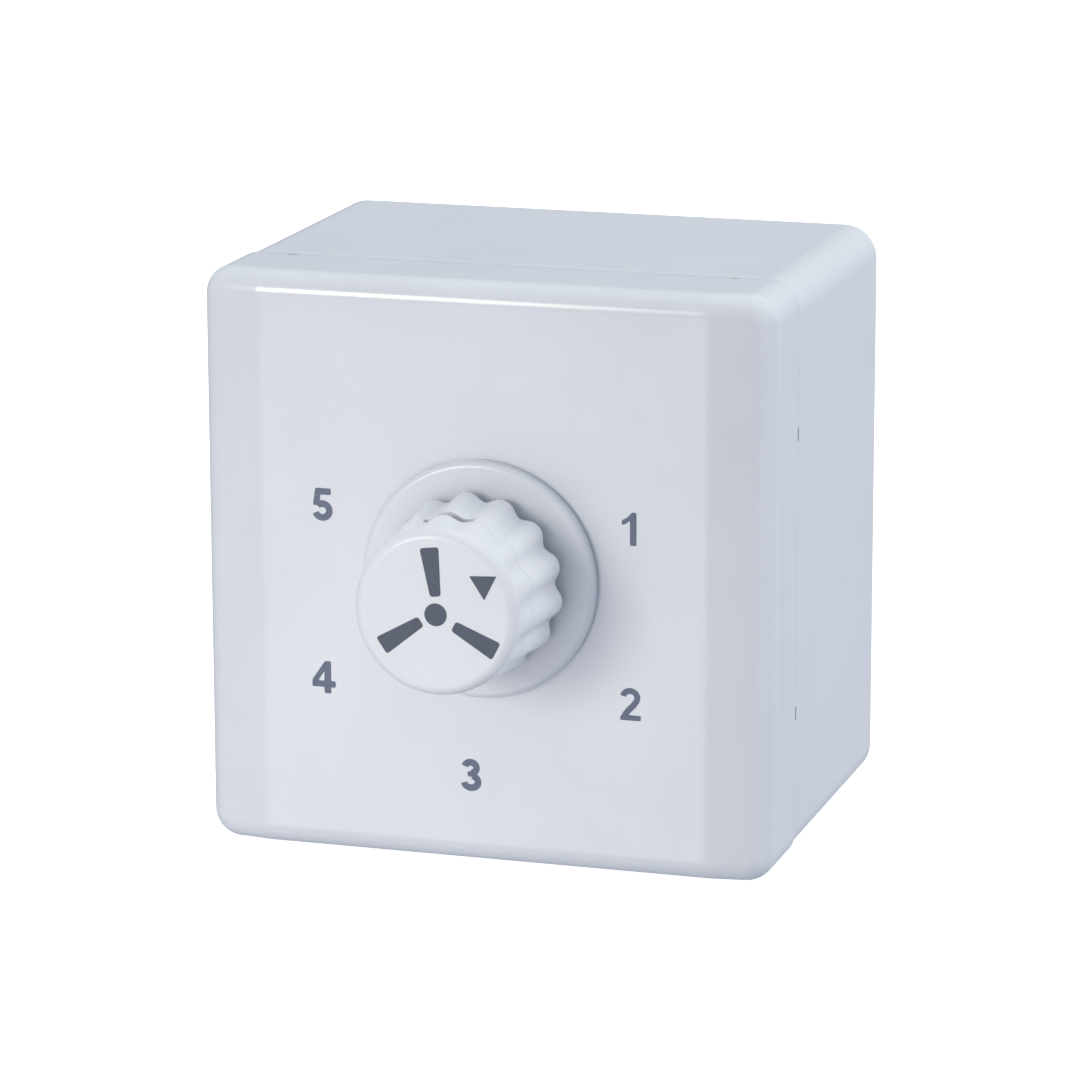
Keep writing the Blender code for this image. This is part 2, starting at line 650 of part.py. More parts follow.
def knob_cap(mats):
    rings = [
        fluted(CAP_SPIGOT_RADIUS, 0.0, KNOB_SPLIT_Y + CAP_SPIGOT_LENGTH),
        fluted(CAP_SPIGOT_RADIUS, 0.0, CAP_BACK_Y),
        grip_ring(CAP_BACK_Y),
    ]
    start_y = KNOB_FRONT_Y + KNOB_FLUTE_START
    for share in (0.5, 0.2, 0.05, 0.0):
        rings.append(grip_ring(start_y + (CAP_BACK_Y - start_y) * share))
    for degrees in (0, 25, 50, 70, 90):
        turn = math.radians(degrees)
        radius = grip_radius(KNOB_FRONT_Y + CAP_EDGE) - CAP_EDGE * (1 - math.cos(turn))
        rings.append(fluted(radius, 0.0, KNOB_FRONT_Y + CAP_EDGE * (1 - math.sin(turn))))
    return loft("knob_cap", rings, [range(len(rings[0]))], mats["knob"], smooth=True)


def knob_clip(mats):
    """A split spring ring around the knob's hub."""
    inner = KNOB_HUB_RADIUS + FIXED_CLEARANCE
    middle_y = KNOB_BACK_Y - 4.0 * MM
    profile = [
        (inner, middle_y - 2.0 * MM),
        (inner + 0.6 * MM, middle_y - 2.0 * MM),
        (inner + 0.6 * MM, middle_y + 2.0 * MM),
        (inner, middle_y + 2.0 * MM),
    ]
    ring = turned("knob_clip", profile, mats["spring"], steps=28)
    low = (-0.8 * MM, middle_y - 3.0 * MM, 0.0)
    high = (0.8 * MM, middle_y + 3.0 * MM, inner + 2.0 * MM)
    return cut(ring, block("clip_split", low, high, mats["spring"]))


# ---------------------------------------------------------------- fasteners
def headed(name, at, mat, shank, tip_y, seat_y, head, head_end_y, slot=0.0, steps=12):
    """A screw or rivet along Y: a shank to tip_y, and a head from seat_y to head_end_y."""
    profile = [(0.0, tip_y), (shank, tip_y), (shank, seat_y), (head, seat_y), (head, head_end_y), (0.0, head_end_y)]
    made = turned(name, profile, mat, at=at, steps=steps)
    if slot:
        inward = 1 if seat_y > head_end_y else -1
        ys = sorted((head_end_y - inward * MM, head_end_y + inward * slot))
        low = (at[0] - 2 * head, ys[0], at[1] - 0.35 * MM)
        high = (at[0] + 2 * head, ys[1], at[1] + 0.35 * MM)
        cut(made, block(name + "_slot", low, high, mat))
    return made


def rivet(name, at, mat, shank, front_seat_y, back_seat_y, head, head_thick, steps=12):
    """A shank with a head at each end, clamping what lies between the two seats."""
    profile = [
        (0.0, front_seat_y - head_thick),
        (head, front_seat_y - head_thick),
        (head, front_seat_y),
        (shank, front_seat_y),
        (shank, back_seat_y),
        (head, back_seat_y),
        (head, back_seat_y + head_thick),
        (0.0, back_seat_y + head_thick),
    ]
    return turned(name, profile, mat, at=at, steps=steps)


# ---------------------------------------------------------------- frame
def mounting_frame(mats):
    steel = mats["zinc"]
    outline = [(x, z) for x, z in rounded_rectangle(FRAME_WIDTH / 2, FRAME_HEIGHT / 2, 1.5 * MM, 3)]
    frame = prism("mounting_frame", outline, FRAME_FRONT_Y, FRAME_BACK_Y, steel)
    for level in (1, -1):
        lip_z = sorted((level * FRAME_HEIGHT / 2, level * (FRAME_HEIGHT / 2 - FRAME_THICK)))
        low = (-FRAME_WIDTH / 2 + 3 * MM, FRAME_FRONT_Y + FRAME_THICK / 2, lip_z[0])
        high = (FRAME_WIDTH / 2 - 3 * MM, FRAME_FRONT_Y + FRAME_LIP, lip_z[1])
        join(frame, block("frame_lip_" + ("top" if level > 0 else "bottom"), low, high, steel))
    ys = (FRAME_FRONT_Y - MM, FRAME_BACK_Y + MM)
    cut(frame, rod("frame_bush_hole", BUSH_HOLE, *ys, steel))
    for side in (1, -1):
        tag = "right" if side > 0 else "left"
        outline = slot_outline(3.4 * MM, FRAME_SCREW_RADIUS + GAP, (side * LUG_X, 0.0), upright=False)
        cut(frame, prism("frame_slot_" + tag, outline, *ys, steel))
    holes = {"top": (0.0, BRACKET_RIVET_Z), "bottom": (0.0, -BRACKET_RIVET_Z)}
    holes["block"] = (BLOCK_X + BLOCK_WIDTH / 2, BLOCK_Z)
    holes["earth"] = EARTH_AT
    for tag, at in holes.items():
        cut(frame, rod("frame_hole_" + tag, RIVET_RADIUS + GAP, *ys, steel, at, 12))
    return frame


def fixings(mats):
    """Frame screws, their inserts and the earth screw."""
    made = []
    for side in (1, -1):
        tag = "right" if side > 0 else "left"
        at = (side * LUG_X, 0.0)
        seat_y = FRAME_FRONT_Y - GAP
        tip_y = LUG_FRONT_Y + FRAME_SCREW_LENGTH - 1.5 * MM
        screw = headed(
            "frame_screw_" + tag, at, mats["zinc"], FRAME_SCREW_RADIUS, tip_y, seat_y, 3.3 * MM,
            seat_y - 2.0 * MM, slot=0.9 * MM, steps=20,
        )
        inner = FRAME_SCREW_RADIUS + GAP
        profile = [
            (inner, LUG_FRONT_Y + GAP),
            (INSERT_RADIUS, LUG_FRONT_Y + GAP),
            (INSERT_RADIUS, LUG_FRONT_Y + INSERT_LENGTH),
            (inner, LUG_FRONT_Y + INSERT_LENGTH),
        ]
        made += [screw, turned("brass_insert_" + tag, profile, mats["brass"], at=at, steps=20)]
    seat_y = FRAME_BACK_Y + GAP
    earth = headed(
        "earth_screw", EARTH_AT, mats["brass"], RIVET_RADIUS, FRAME_FRONT_Y - 2.0 * MM, seat_y, 2.6 * MM,
        seat_y + 1.6 * MM, slot=0.7 * MM,
    )
    return made + [earth]


# ---------------------------------------------------------------- rotary switch
def radial_rod(name, radius, near, far, y, degrees, mat, steps=16):
    """A rod along the radius at degrees clockwise from the top."""
    bm = bmesh.new()
    turn = Matrix.Rotation(math.radians(degrees), 4, "Y")
    place = turn @ Matrix.Translation((0.0, y, (near + far) / 2))
    bmesh.ops.create_cone(
        bm, cap_ends=True, segments=steps, radius1=radius, radius2=radius, depth=far - near, matrix=place
    )
    return finished(name, bm, mat, smooth=True)


def arc_outline(inner, outer, half_degrees, degrees, steps=4):
    """An (x, z) ring sector centred at degrees clockwise from the top."""
    turns = [math.radians(degrees - half_degrees + 2 * half_degrees * i / steps) for i in range(steps + 1)]
    far = [(outer * math.sin(t), outer * math.cos(t)) for t in turns]
    near = [(inner * math.sin(t), inner * math.cos(t)) for t in reversed(turns)]
    return far + near


def switch_cover(mats):
    plastic = mats["phenolic"]
    half = SWITCH_SIZE / 2
    outline = rounded_rectangle(half, half, 3.0 * MM, 3)
    cover = prism("switch_cover", outline, SWITCH_FRONT_Y, SWITCH_BACK_Y, plastic)
    cavity = turned(
        "switch_cavity",
        [
            (0.0, SWITCH_FRONT_Y - MM),
            (BUSH_HOLE, SWITCH_FRONT_Y - MM),
            (BUSH_HOLE, CAVITY_FRONT_Y),
            (INDEX_ROOM_RADIUS, CAVITY_FRONT_Y),
            (INDEX_ROOM_RADIUS, STEP_Y),
            (SWITCH_CAVITY_RADIUS, STEP_Y),
            (SWITCH_CAVITY_RADIUS, SWITCH_BACK_Y + MM),
            (0.0, SWITCH_BACK_Y + MM),
        ],
        plastic,
        steps=36,
    )
    cut(cover, cavity)
    index_y = (INDEX_FRONT_Y + INDEX_BACK_Y) / 2
    far = half * math.sqrt(2) - 3.0 * MM
    bore = radial_rod(
        "detent_bore", BALL_RADIUS + GAP, INDEX_RADIUS, far, index_y, DETENT_ANGLE, plastic
    )
    cut(cover, bore)
    for side in (1, -1):
        at = (side * RIVET_SPREAD, -side * RIVET_SPREAD)
        tag = "right" if side > 0 else "left"
        cut(cover, rod("cover_rivet_hole_" + tag, RIVET_RADIUS + GAP, SWITCH_FRONT_Y - MM, SWITCH_BACK_Y + MM, plastic, at, 12))
        cut(cover, rod("cover_rivet_well_" + tag, 2.1 * MM + GAP, SWITCH_FRONT_Y - MM, SWITCH_FRONT_Y + 1.4 * MM, plastic, at, 12))
    inner = ROTOR_RADIUS + GAP
    rib = arc_outline(inner, SWITCH_CAVITY_RADIUS + 0.6 * MM, STOP_RIB_HALF, STOP_ANGLE)
    join(cover, prism("stop_rib", rib, STEP_Y - 0.5 * MM, SWITCH_BACK_Y, plastic))
    return cover


def switch_base(mats):
    plastic = mats["phenolic"]
    half = SWITCH_SIZE / 2
    base = prism("switch_base", rounded_rectangle(half, half, 3.0 * MM, 3), BASE_FRONT_Y, BASE_BACK_Y, plastic)
    ys = (BASE_FRONT_Y - MM, BASE_BACK_Y + MM)
    cut(base, rod("base_bearing", SHAFT_RADIUS + SHAFT_CLEARANCE, *ys, plastic))
    for step in range(6):
        low = (-CONTACT_WIDTH / 2 - FIXED_CLEARANCE, ys[0], CONTACT_OUTER - CONTACT_THICK - FIXED_CLEARANCE)
        high = (CONTACT_WIDTH / 2 + FIXED_CLEARANCE, ys[1], CONTACT_OUTER + FIXED_CLEARANCE)
        cut(base, turn_about_y(block(f"base_slot_{step}", low, high, plastic), STEP_ANGLE * step))
    for side in (1, -1):
        at = (side * RIVET_SPREAD, -side * RIVET_SPREAD)
        tag = "right" if side > 0 else "left"
        cut(base, rod("base_rivet_hole_" + tag, RIVET_RADIUS + GAP, *ys, plastic, at, 12))
    return base


def bush_and_nut(mats):
    bore = SHAFT_RADIUS + SHAFT_CLEARANCE
    profile = [
        (bore, BUSH_FRONT_Y),
        (BUSH_RADIUS - 0.5 * MM, BUSH_FRONT_Y),
        (BUSH_RADIUS, BUSH_FRONT_Y + 0.5 * MM),
        (BUSH_RADIUS, CAVITY_FRONT_Y + GAP),
        (BUSH_FLANGE_RADIUS, CAVITY_FRONT_Y + GAP),
        (BUSH_FLANGE_RADIUS, BUSH_BACK_Y),
        (bore, BUSH_BACK_Y),
    ]
    bush = turned("threaded_bush", profile, mats["brass"], steps=28)
    washer_y = FRAME_FRONT_Y - GAP
    teeth = []
    for i in range(24):
        turn = math.tau * i / 24
        reach = NUT_ACROSS / 2 + (1.0 * MM if i % 2 else 0.3 * MM)
        teeth.append((reach * math.sin(turn), reach * math.cos(turn)))
    washer = prism("lock_washer", teeth, washer_y, washer_y - WASHER_THICK, mats["zinc"])
    cut(washer, rod("washer_hole", BUSH_HOLE, washer_y + MM, washer_y - WASHER_THICK - MM, mats["zinc"]))
    nut_y = washer_y - WASHER_THICK - GAP
    across = NUT_ACROSS / 2 / math.cos(math.pi / 6)
    nut = prism("bush_nut", circle(across, 6), nut_y, nut_y - NUT_THICK, mats["brass"])
    cut(nut, rod("nut_hole", BUSH_HOLE, nut_y + MM, nut_y - NUT_THICK - MM, mats["brass"]))
    return [bush, washer, nut]


def d_hole(name, y_from, y_to, mat):
    return prism(name, d_outline(SHAFT_RADIUS, SHAFT_FLAT, FIXED_CLEARANCE), y_from, y_to, mat)


def control_shaft(mats):
    shaft = rod("control_shaft", SHAFT_RADIUS, SHAFT_FRONT_Y, SHAFT_BACK_Y, mats["zinc"])
    flat_z = SHAFT_RADIUS - SHAFT_FLAT
    for tag, near, far in (
        ("front", SHAFT_FRONT_Y - MM, BUSH_FRONT_Y - 2.0 * MM),
        ("back", INDEX_FRONT_Y, WIPER_BACK_Y + GAP / 2),
    ):
        low = (-2 * SHAFT_RADIUS, near, flat_z)
        high = (2 * SHAFT_RADIUS, far, 2 * SHAFT_RADIUS)
        cut(shaft, block("shaft_flat_" + tag, low, high, mats["zinc"]))
    return shaft


def index_wheel(mats):
    outline = []
    for i in range(72):
        degrees = 5.0 * i
        off = abs((degrees - DETENT_ANGLE + 30.0) % 60.0 - 30.0)
        reach = INDEX_RADIUS - INDEX_NOTCH * max(0.0, 1.0 - off / 10.0)
        turn = math.radians(degrees)
        outline.append((reach * math.sin(turn), reach * math.cos(turn)))
    wheel = prism("index_wheel", outline, INDEX_FRONT_Y, INDEX_BACK_Y, mats["nylon"])
    return cut(wheel, d_hole("index_hole", INDEX_FRONT_Y - MM, INDEX_BACK_Y + MM, mats["nylon"]))


def detent(mats):
    y = (INDEX_FRONT_Y + INDEX_BACK_Y) / 2
    bm = bmesh.new()
    bmesh.ops.create_uvsphere(bm, u_segments=14, v_segments=8, radius=BALL_RADIUS)
    turn = Matrix.Rotation(math.radians(DETENT_ANGLE), 4, "Y")
    bmesh.ops.transform(bm, matrix=turn @ Matrix.Translation((0.0, y, BALL_AT)), verts=bm.verts)
    ball = finished("detent_ball", bm, mats["zinc"], smooth=True)
    near = BALL_AT + BALL_RADIUS + GAP + DETENT_WIRE_RADIUS
    far = SWITCH_SIZE / 2 * math.sqrt(2) - 3.0 * MM - GAP - DETENT_WIRE_RADIUS
    points = []
    steps = 8 * DETENT_TURNS
    for i in range(steps + 1):
        around = math.tau * i / 8
        local = Vector((
            DETENT_COIL_RADIUS * math.cos(around),
            DETENT_COIL_RADIUS * math.sin(around) + y,
            near + (far - near) * i / steps,
        ))
        points.append(turn @ local)
    spring = wire("detent_spring", points, DETENT_WIRE_RADIUS, mats["spring"], resolution=1)
    return [ball, spring]


def rotor(mats):
    """The disc behind the index wheel, with the tab that meets the cover's stop at both ends of the turn."""
    tab = STOP_ANGLE + STEP_ANGLE / 2
    plain = 360.0 - 2 * STOP_TAB_HALF
    outline = []
    for i in range(69):
        turn = math.radians(tab + STOP_TAB_HALF + plain * i / 68)
        outline.append((ROTOR_RADIUS * math.sin(turn), ROTOR_RADIUS * math.cos(turn)))
    reach = ROTOR_RADIUS + STOP_REACH
    for i in range(5):
        turn = math.radians(tab + STOP_TAB_HALF * (i / 2 - 1))
        outline.append((reach * math.sin(turn), reach * math.cos(turn)))
    made = prism("switch_rotor", outline, ROTOR_FRONT_Y, ROTOR_BACK_Y, mats["nylon"])
    return cut(made, d_hole("rotor_hole", ROTOR_FRONT_Y - MM, ROTOR_BACK_Y + MM, mats["nylon"]))


def wiper(mats):
    bronze = mats["spring"]
    made = prism("wiper", circle(6.2 * MM, 28), WIPER_FRONT_Y, WIPER_BACK_Y, bronze)
    low = (-1.5 * MM, WIPER_FRONT_Y, 4.0 * MM)
    high = (1.5 * MM, WIPER_BACK_Y, CONTACT_RADIUS + 1.0 * MM)
    join(made, block("wiper_arm", low, high, bronze))
    return cut(made, d_hole("wiper_hole", WIPER_FRONT_Y - MM, WIPER_BACK_Y + MM, bronze))


def contact(name, mats, degrees, inner):
    """A pad on the base's front, a tail through its slot and a solder tab behind it."""
    outer = CONTACT_OUTER
    outline = [
        (CONTACT_FRONT_Y, inner),
        (CONTACT_FRONT_Y, outer),
        (TAB_FRONT_Y, outer),
        (TAB_FRONT_Y, TAB_REACH),
        (TAB_FRONT_Y + CONTACT_THICK, TAB_REACH),
        (TAB_FRONT_Y + CONTACT_THICK, outer - CONTACT_THICK),
        (CONTACT_FRONT_Y + CONTACT_THICK, outer - CONTACT_THICK),
        (CONTACT_FRONT_Y + CONTACT_THICK, inner),
    ]
    return turn_about_y(side_prism(name, outline, -CONTACT_WIDTH / 2, CONTACT_WIDTH / 2, mats["brass"]), degrees)


def contacts(mats):
    inner = CONTACT_RADIUS - CONTACT_LENGTH / 2
    made = [contact(f"speed_contact_{n}", mats, STEP_ANGLE * n, inner) for n in range(1, 6)]
    common = contact("common_contact", mats, 0.0, 5.0 * MM)
    ring = prism("common_ring", circle(6.2 * MM, 28), CONTACT_FRONT_Y, CONTACT_FRONT_Y + CONTACT_THICK, mats["brass"])
    join(common, ring)
    cut(common, rod("common_hole", SHAFT_RADIUS + 2 * GAP, CONTACT_FRONT_Y - MM, CONTACT_FRONT_Y + MM, mats["brass"]))
    return made + [common]


def switch_rivets(mats):
    made = []
    for side in (1, -1):
        at = (side * RIVET_SPREAD, -side * RIVET_SPREAD)
        tag = "right" if side > 0 else "left"
        seat_y = SWITCH_FRONT_Y + 1.4 * MM - GAP
        name = "switch_rivet_" + tag
        made.append(rivet(name, at, mats["brass"], RIVET_RADIUS, seat_y, BASE_BACK_Y + GAP, 2.1 * MM, 0.8 * MM))
    return made


# ---------------------------------------------------------------- tapped choke
def core_stacks(mats):
    steel = mats["lamination"]
    half, leg, width = CORE_LENGTH / 2, CORE_LEG, CORE_WIDTH / 2
    tip = width - leg
    outline = [
        (-width, half), (tip, half), (tip, half - leg), (-tip, half - leg), (-tip, leg), (tip, leg),
        (tip, -leg), (-tip, -leg), (-tip, leg - half), (tip, leg - half), (tip, -half), (-width, -half),
    ]
    e_stack = prism("core_e_stack", outline, CORE_FRONT_Y, CORE_BACK_Y, steel)
    low = (tip + GAP, CORE_FRONT_Y, -half)
    i_stack = block("core_i_stack", low, (width, CORE_BACK_Y, half), steel)
    for side in (1, -1):
        for level in (1, -1):
            tag = f"{'right' if side > 0 else 'left'}_{'top' if level > 0 else 'bottom'}"
            at = (side * RIVET_X, level * RIVET_Z)
            hole = rod("core_hole_" + tag, CORE_BOLT_RADIUS + GAP, CORE_FRONT_Y - MM, CORE_BACK_Y + MM, steel, at, 12)
            cut(i_stack if side > 0 else e_stack, hole)
    return [e_stack, i_stack]


def box_about_core(name, half_x, half_y, half_z, mat):
    return block(name, (-half_x, CORE_MID_Y - half_y, -half_z), (half_x, CORE_MID_Y + half_y, half_z), mat)


def coil(mats):
    """Bobbin, winding and tape, each a sleeve around the core's middle leg."""
    leg_y, leg_z = CORE_STACK / 2, CORE_LEG
    tube_y, tube_z = leg_y + GAP + BOBBIN_WALL, leg_z + GAP + BOBBIN_WALL
    end_x = WINDOW_LENGTH / 2 - GAP
    flange_y, flange_z = CORE_STACK / 2 + COIL_OVERHANG, CORE_LENGTH / 2 - CORE_LEG - GAP
    bobbin = box_about_core("bobbin", end_x, tube_y, tube_z, mats["nylon"])
    for side in (1, -1):
        xs = sorted((side * end_x, side * (end_x - BOBBIN_FLANGE)))
        tag = "right" if side > 0 else "left"
        low = (xs[0], CORE_MID_Y - flange_y, -flange_z)
        high = (xs[1], CORE_MID_Y + flange_y, flange_z)
        join(bobbin, block("bobbin_flange_" + tag, low, high, mats["nylon"]))
    cut(bobbin, box_about_core("bobbin_tunnel", end_x + MM, leg_y + GAP, leg_z + GAP, mats["nylon"]))
    wound_x = end_x - BOBBIN_FLANGE - GAP
    wound_y, wound_z = flange_y - 1.2 * MM, flange_z - 1.2 * MM
    winding = box_about_core("winding", wound_x, wound_y, wound_z, mats["copper"])
    cut(winding, box_about_core("winding_tunnel", end_x, tube_y + GAP, tube_z + GAP, mats["copper"]))
    outer = GAP + TAPE_THICK
    tape = box_about_core("coil_tape", wound_x, wound_y + outer, wound_z + outer, mats["tape"])
    cut(tape, box_about_core("tape_tunnel", end_x, wound_y + GAP, wound_z + GAP, mats["tape"]))
    return [bobbin, winding, tape]


def brackets(mats):
    """Two steel brackets carry the core behind the frame: a foot on the core, a riser and a flange."""
    steel = mats["zinc"]
    made = []
    riser_z = CORE_LENGTH / 2 - GAP
    for level in (1, -1):
        tag = "top" if level > 0 else "bottom"

        def bar(name, half_x, near_y, far_y, near_z, far_z):
            zs = sorted((level * near_z, level * far_z))
            return block(name, (-half_x, near_y, zs[0]), (half_x, far_y, zs[1]), steel)

        foot_back_y = BRACKET_FRONT_Y + BRACKET_THICK
        foot_z = CORE_LENGTH / 2 - CORE_LEG + GAP
        flange_y = FRAME_BACK_Y + GAP
        riser = bar(
            "choke_bracket_" + tag, BRACKET_WIDTH / 2, flange_y, foot_back_y, riser_z - BRACKET_THICK, riser_z
        )
        half_foot = RIVET_X + 3.0 * MM
        join(riser, bar("bracket_foot_" + tag, half_foot, BRACKET_FRONT_Y, foot_back_y, foot_z, riser_z))
        flange_z = riser_z + BRACKET_FOOT
        flange = bar(
            "bracket_flange_" + tag, BRACKET_WIDTH / 2, flange_y, flange_y + BRACKET_THICK,
            riser_z - BRACKET_THICK, flange_z,
        )
        join(riser, flange)
        for side in (1, -1):
            at = (side * RIVET_X, level * RIVET_Z)
            name = f"bracket_hole_{tag}_{'right' if side > 0 else 'left'}"
            hole = rod(name, CORE_BOLT_RADIUS + GAP, BRACKET_FRONT_Y - MM, foot_back_y + MM, steel, at, 12)
            cut(riser, hole)
        at = (0.0, level * BRACKET_RIVET_Z)
        hole = rod("flange_hole_" + tag, RIVET_RADIUS + GAP, flange_y - MM, flange_y + 2 * MM, steel, at, 12)
        made.append(cut(riser, hole))
    return made


def choke_fasteners(mats):
    made = []
    for level in (1, -1):
        tag = "top" if level > 0 else "bottom"
        at = (0.0, level * BRACKET_RIVET_Z)
        back_y = FRAME_BACK_Y + GAP + BRACKET_THICK + GAP
        name = "bracket_rivet_" + tag
        made.append(rivet(name, at, mats["zinc"], RIVET_RADIUS, FRAME_FRONT_Y - GAP, back_y, 2.1 * MM, 0.8 * MM))
        for side in (1, -1):
            name = f"core_bolt_{'right' if side > 0 else 'left'}_{tag}"
            at = (side * RIVET_X, level * RIVET_Z)
            front_y = BRACKET_FRONT_Y - GAP
            back_y = CORE_BACK_Y + GAP
            made.append(rivet(name, at, mats["zinc"], CORE_BOLT_RADIUS, front_y, back_y, 2.6 * MM, 1.0 * MM))
    return made


# ---------------------------------------------------------------- terminals and leads
def x_rod(name, radius, x_from, x_to, y, z, mat, steps=16):
    bm = bmesh.new()
    place = Matrix.Translation(((x_from + x_to) / 2, y, z)) @ Matrix.Rotation(math.pi / 2, 4, "Y")
    bmesh.ops.create_cone(
        bm, cap_ends=True, segments=steps, radius1=radius, radius2=radius, depth=x_to - x_from, matrix=place
    )
    return finished(name, bm, mat, smooth=True)


def terminals(mats):
    nylon, brass = mats["nylon"], mats["brass"]
    far_x = BLOCK_X + BLOCK_WIDTH
    body = block(
        "terminal_block",
        (BLOCK_X, BLOCK_BACK_Y - BLOCK_DEPTH, BLOCK_Z - BLOCK_PITCH),
        (far_x, BLOCK_BACK_Y, BLOCK_Z + BLOCK_PITCH),
        nylon,
    )
    made = [body]
    half = CLAMP_SIDE / 2
    screw_xs = (BLOCK_X + BLOCK_WIDTH * 0.26, BLOCK_X + BLOCK_WIDTH * 0.74)
    for pole, level in (("live", 1), ("fan", -1)):
        z = BLOCK_Z + level * BLOCK_PITCH / 2
        low = (BLOCK_X - MM, CLAMP_Y - half - GAP, z - half - GAP)
        high = (far_x + MM, CLAMP_Y + half + GAP, z + half + GAP)
        cut(body, block("clamp_room_" + pole, low, high, nylon))
        low = (BLOCK_X + 0.6 * MM, CLAMP_Y - half, z - half)
        high = (far_x - 0.6 * MM, CLAMP_Y + half, z + half)
        clamp = block("clamp_" + pole, low, high, brass)
        cut(clamp, x_rod("clamp_bore_" + pole, CLAMP_BORE_RADIUS, BLOCK_X - MM, far_x + MM, CLAMP_Y, z, brass))
        made.append(clamp)
        for tag, x in zip(("inner", "outer"), screw_xs):
            at = (x, z)
            well = rod(
                f"screw_well_{pole}_{tag}", 1.9 * MM, CLAMP_Y + half, BLOCK_BACK_Y + MM, nylon, at, 16
            )
            cut(body, well)
            hole = rod(
                f"screw_hole_{pole}_{tag}", SMALL_SCREW_RADIUS + GAP, CLAMP_Y, CLAMP_Y + half + MM, brass, at, 16
            )
            cut(clamp, hole)
            seat_y = CLAMP_Y + half + GAP
            tip_y = CLAMP_Y + CLAMP_BORE_RADIUS * 0.75
            made.append(
                headed(
                    f"clamp_screw_{pole}_{tag}", at, mats["zinc"], SMALL_SCREW_RADIUS, tip_y, seat_y,
                    1.55 * MM, seat_y + 1.6 * MM, slot=0.6 * MM,
                )
            )
    at = (BLOCK_X + BLOCK_WIDTH / 2, BLOCK_Z)
    cut(body, rod("block_hole", RIVET_RADIUS + GAP, FRAME_BACK_Y - MM, BLOCK_BACK_Y + MM, nylon, at, 12))
    seat_y = BLOCK_BACK_Y + GAP
    tip_y = FRAME_FRONT_Y - 1.0 * MM
    screw = headed(
        "block_screw", at, mats["zinc"], SMALL_SCREW_RADIUS, tip_y, seat_y, 1.8 * MM, seat_y + 1.2 * MM,
        slot=0.5 * MM,
    )
    return made + [screw]


def wire(name, points, radius, mat, resolution=2):
    """A round wire along straight runs between points."""
    curve = bpy.data.curves.new(name, "CURVE")
    curve.dimensions = "3D"
    curve.bevel_depth = radius
    curve.bevel_resolution = resolution
    curve.use_fill_caps = True
    path = curve.splines.new("POLY")
    path.points.add(len(points) - 1)
    for spot, point in zip(path.points, points):
        spot.co = (*point, 1.0)
    curve.materials.append(mat)
    made = bpy.data.objects.new(name, curve)
    bpy.context.scene.collection.objects.link(made)
    return made


def eased(corners, bend):
    """Rounds each corner of a route with a short arc of four points."""
    corners = [Vector(corner) for corner in corners]
    points = [corners[0]]
    for before, here, after in zip(corners, corners[1:], corners[2:]):
        back = min(bend, (before - here).length * 0.45)
        on = min(bend, (after - here).length * 0.45)
        start = here + (before - here).normalized() * back
        end = here + (after - here).normalized() * on
        for i in range(4):
            t = i / 3
            points.append(start * (1 - t) ** 2 + here * 2 * t * (1 - t) + end * t**2)
    return points + [corners[-1]]


def leads(mats):
    """Each lead runs from a solder tab to the coil's end, or to a clamp of the terminal block."""
    made = []
    tab_y = TAB_FRONT_Y + CONTACT_THICK / 2
    start = TAB_REACH + GAP
    turn_at = start + 1.6 * MM
    coil_x = WINDOW_LENGTH / 2 + GAP
    tap_y = (CORE_FRONT_Y + COIL_FRONT_Y) / 2
    for speed in range(1, 6):
        turn = math.radians(STEP_ANGLE * speed)
        out = Vector((math.sin(turn), 0.0, math.cos(turn)))
        side = 1 if speed < 4 else -1
        corners = [out * start + Vector((0.0, tab_y, 0.0)), out * turn_at + Vector((0.0, tab_y, 0.0))]
        if speed == 3:
            run_y = COIL_FRONT_Y + 0.4 * MM
            run_z = -turn_at
            coil_z = -CORE_LENGTH / 4 - 2.0 * MM
            corners.append((0.0, run_y, run_z))
            corners.append((coil_x + 3.2 * MM, run_y, run_z))
            corners.append((coil_x + 3.2 * MM, tap_y, coil_z))
        else:
            coil_z = out.z * turn_at * 0.92
            corners.append((out.x * turn_at, tap_y, out.z * turn_at))
        corners.append((side * coil_x, tap_y, coil_z))
        made.append(wire(f"tap_lead_{speed}", eased(corners, LEAD_BEND), LEAD_RADIUS, mats["lead"]))
    end_x = BLOCK_X + 1.2 * MM
    live_z, fan_z = BLOCK_Z + BLOCK_PITCH / 2, BLOCK_Z - BLOCK_PITCH / 2
    lane_x = (CORE_WIDTH / 2 + BLOCK_X) / 2
    corners = [
        (0.0, tab_y, start),
        (0.0, tab_y, turn_at),
        (lane_x, tab_y, turn_at),
        (lane_x, tab_y, live_z),
        (BLOCK_X - 2.4 * MM, CLAMP_Y, live_z),
        (end_x, CLAMP_Y, live_z),
    ]
    made.append(wire("common_lead", eased(corners, LEAD_BEND), LEAD_RADIUS, mats["lead"]))
    corners = [
        (coil_x, tap_y, -3.0 * MM),
        (coil_x + 7.6 * MM, tap_y - 2.0 * MM, -3.0 * MM),
        (coil_x + 7.6 * MM, tap_y - 2.0 * MM, fan_z),
        (BLOCK_X - 2.8 * MM, CLAMP_Y, fan_z),
        (end_x, CLAMP_Y, fan_z),
    ]
    made.append(wire("winding_end_lead", eased(corners, LEAD_BEND), LEAD_RADIUS, mats["lead"]))
    return made


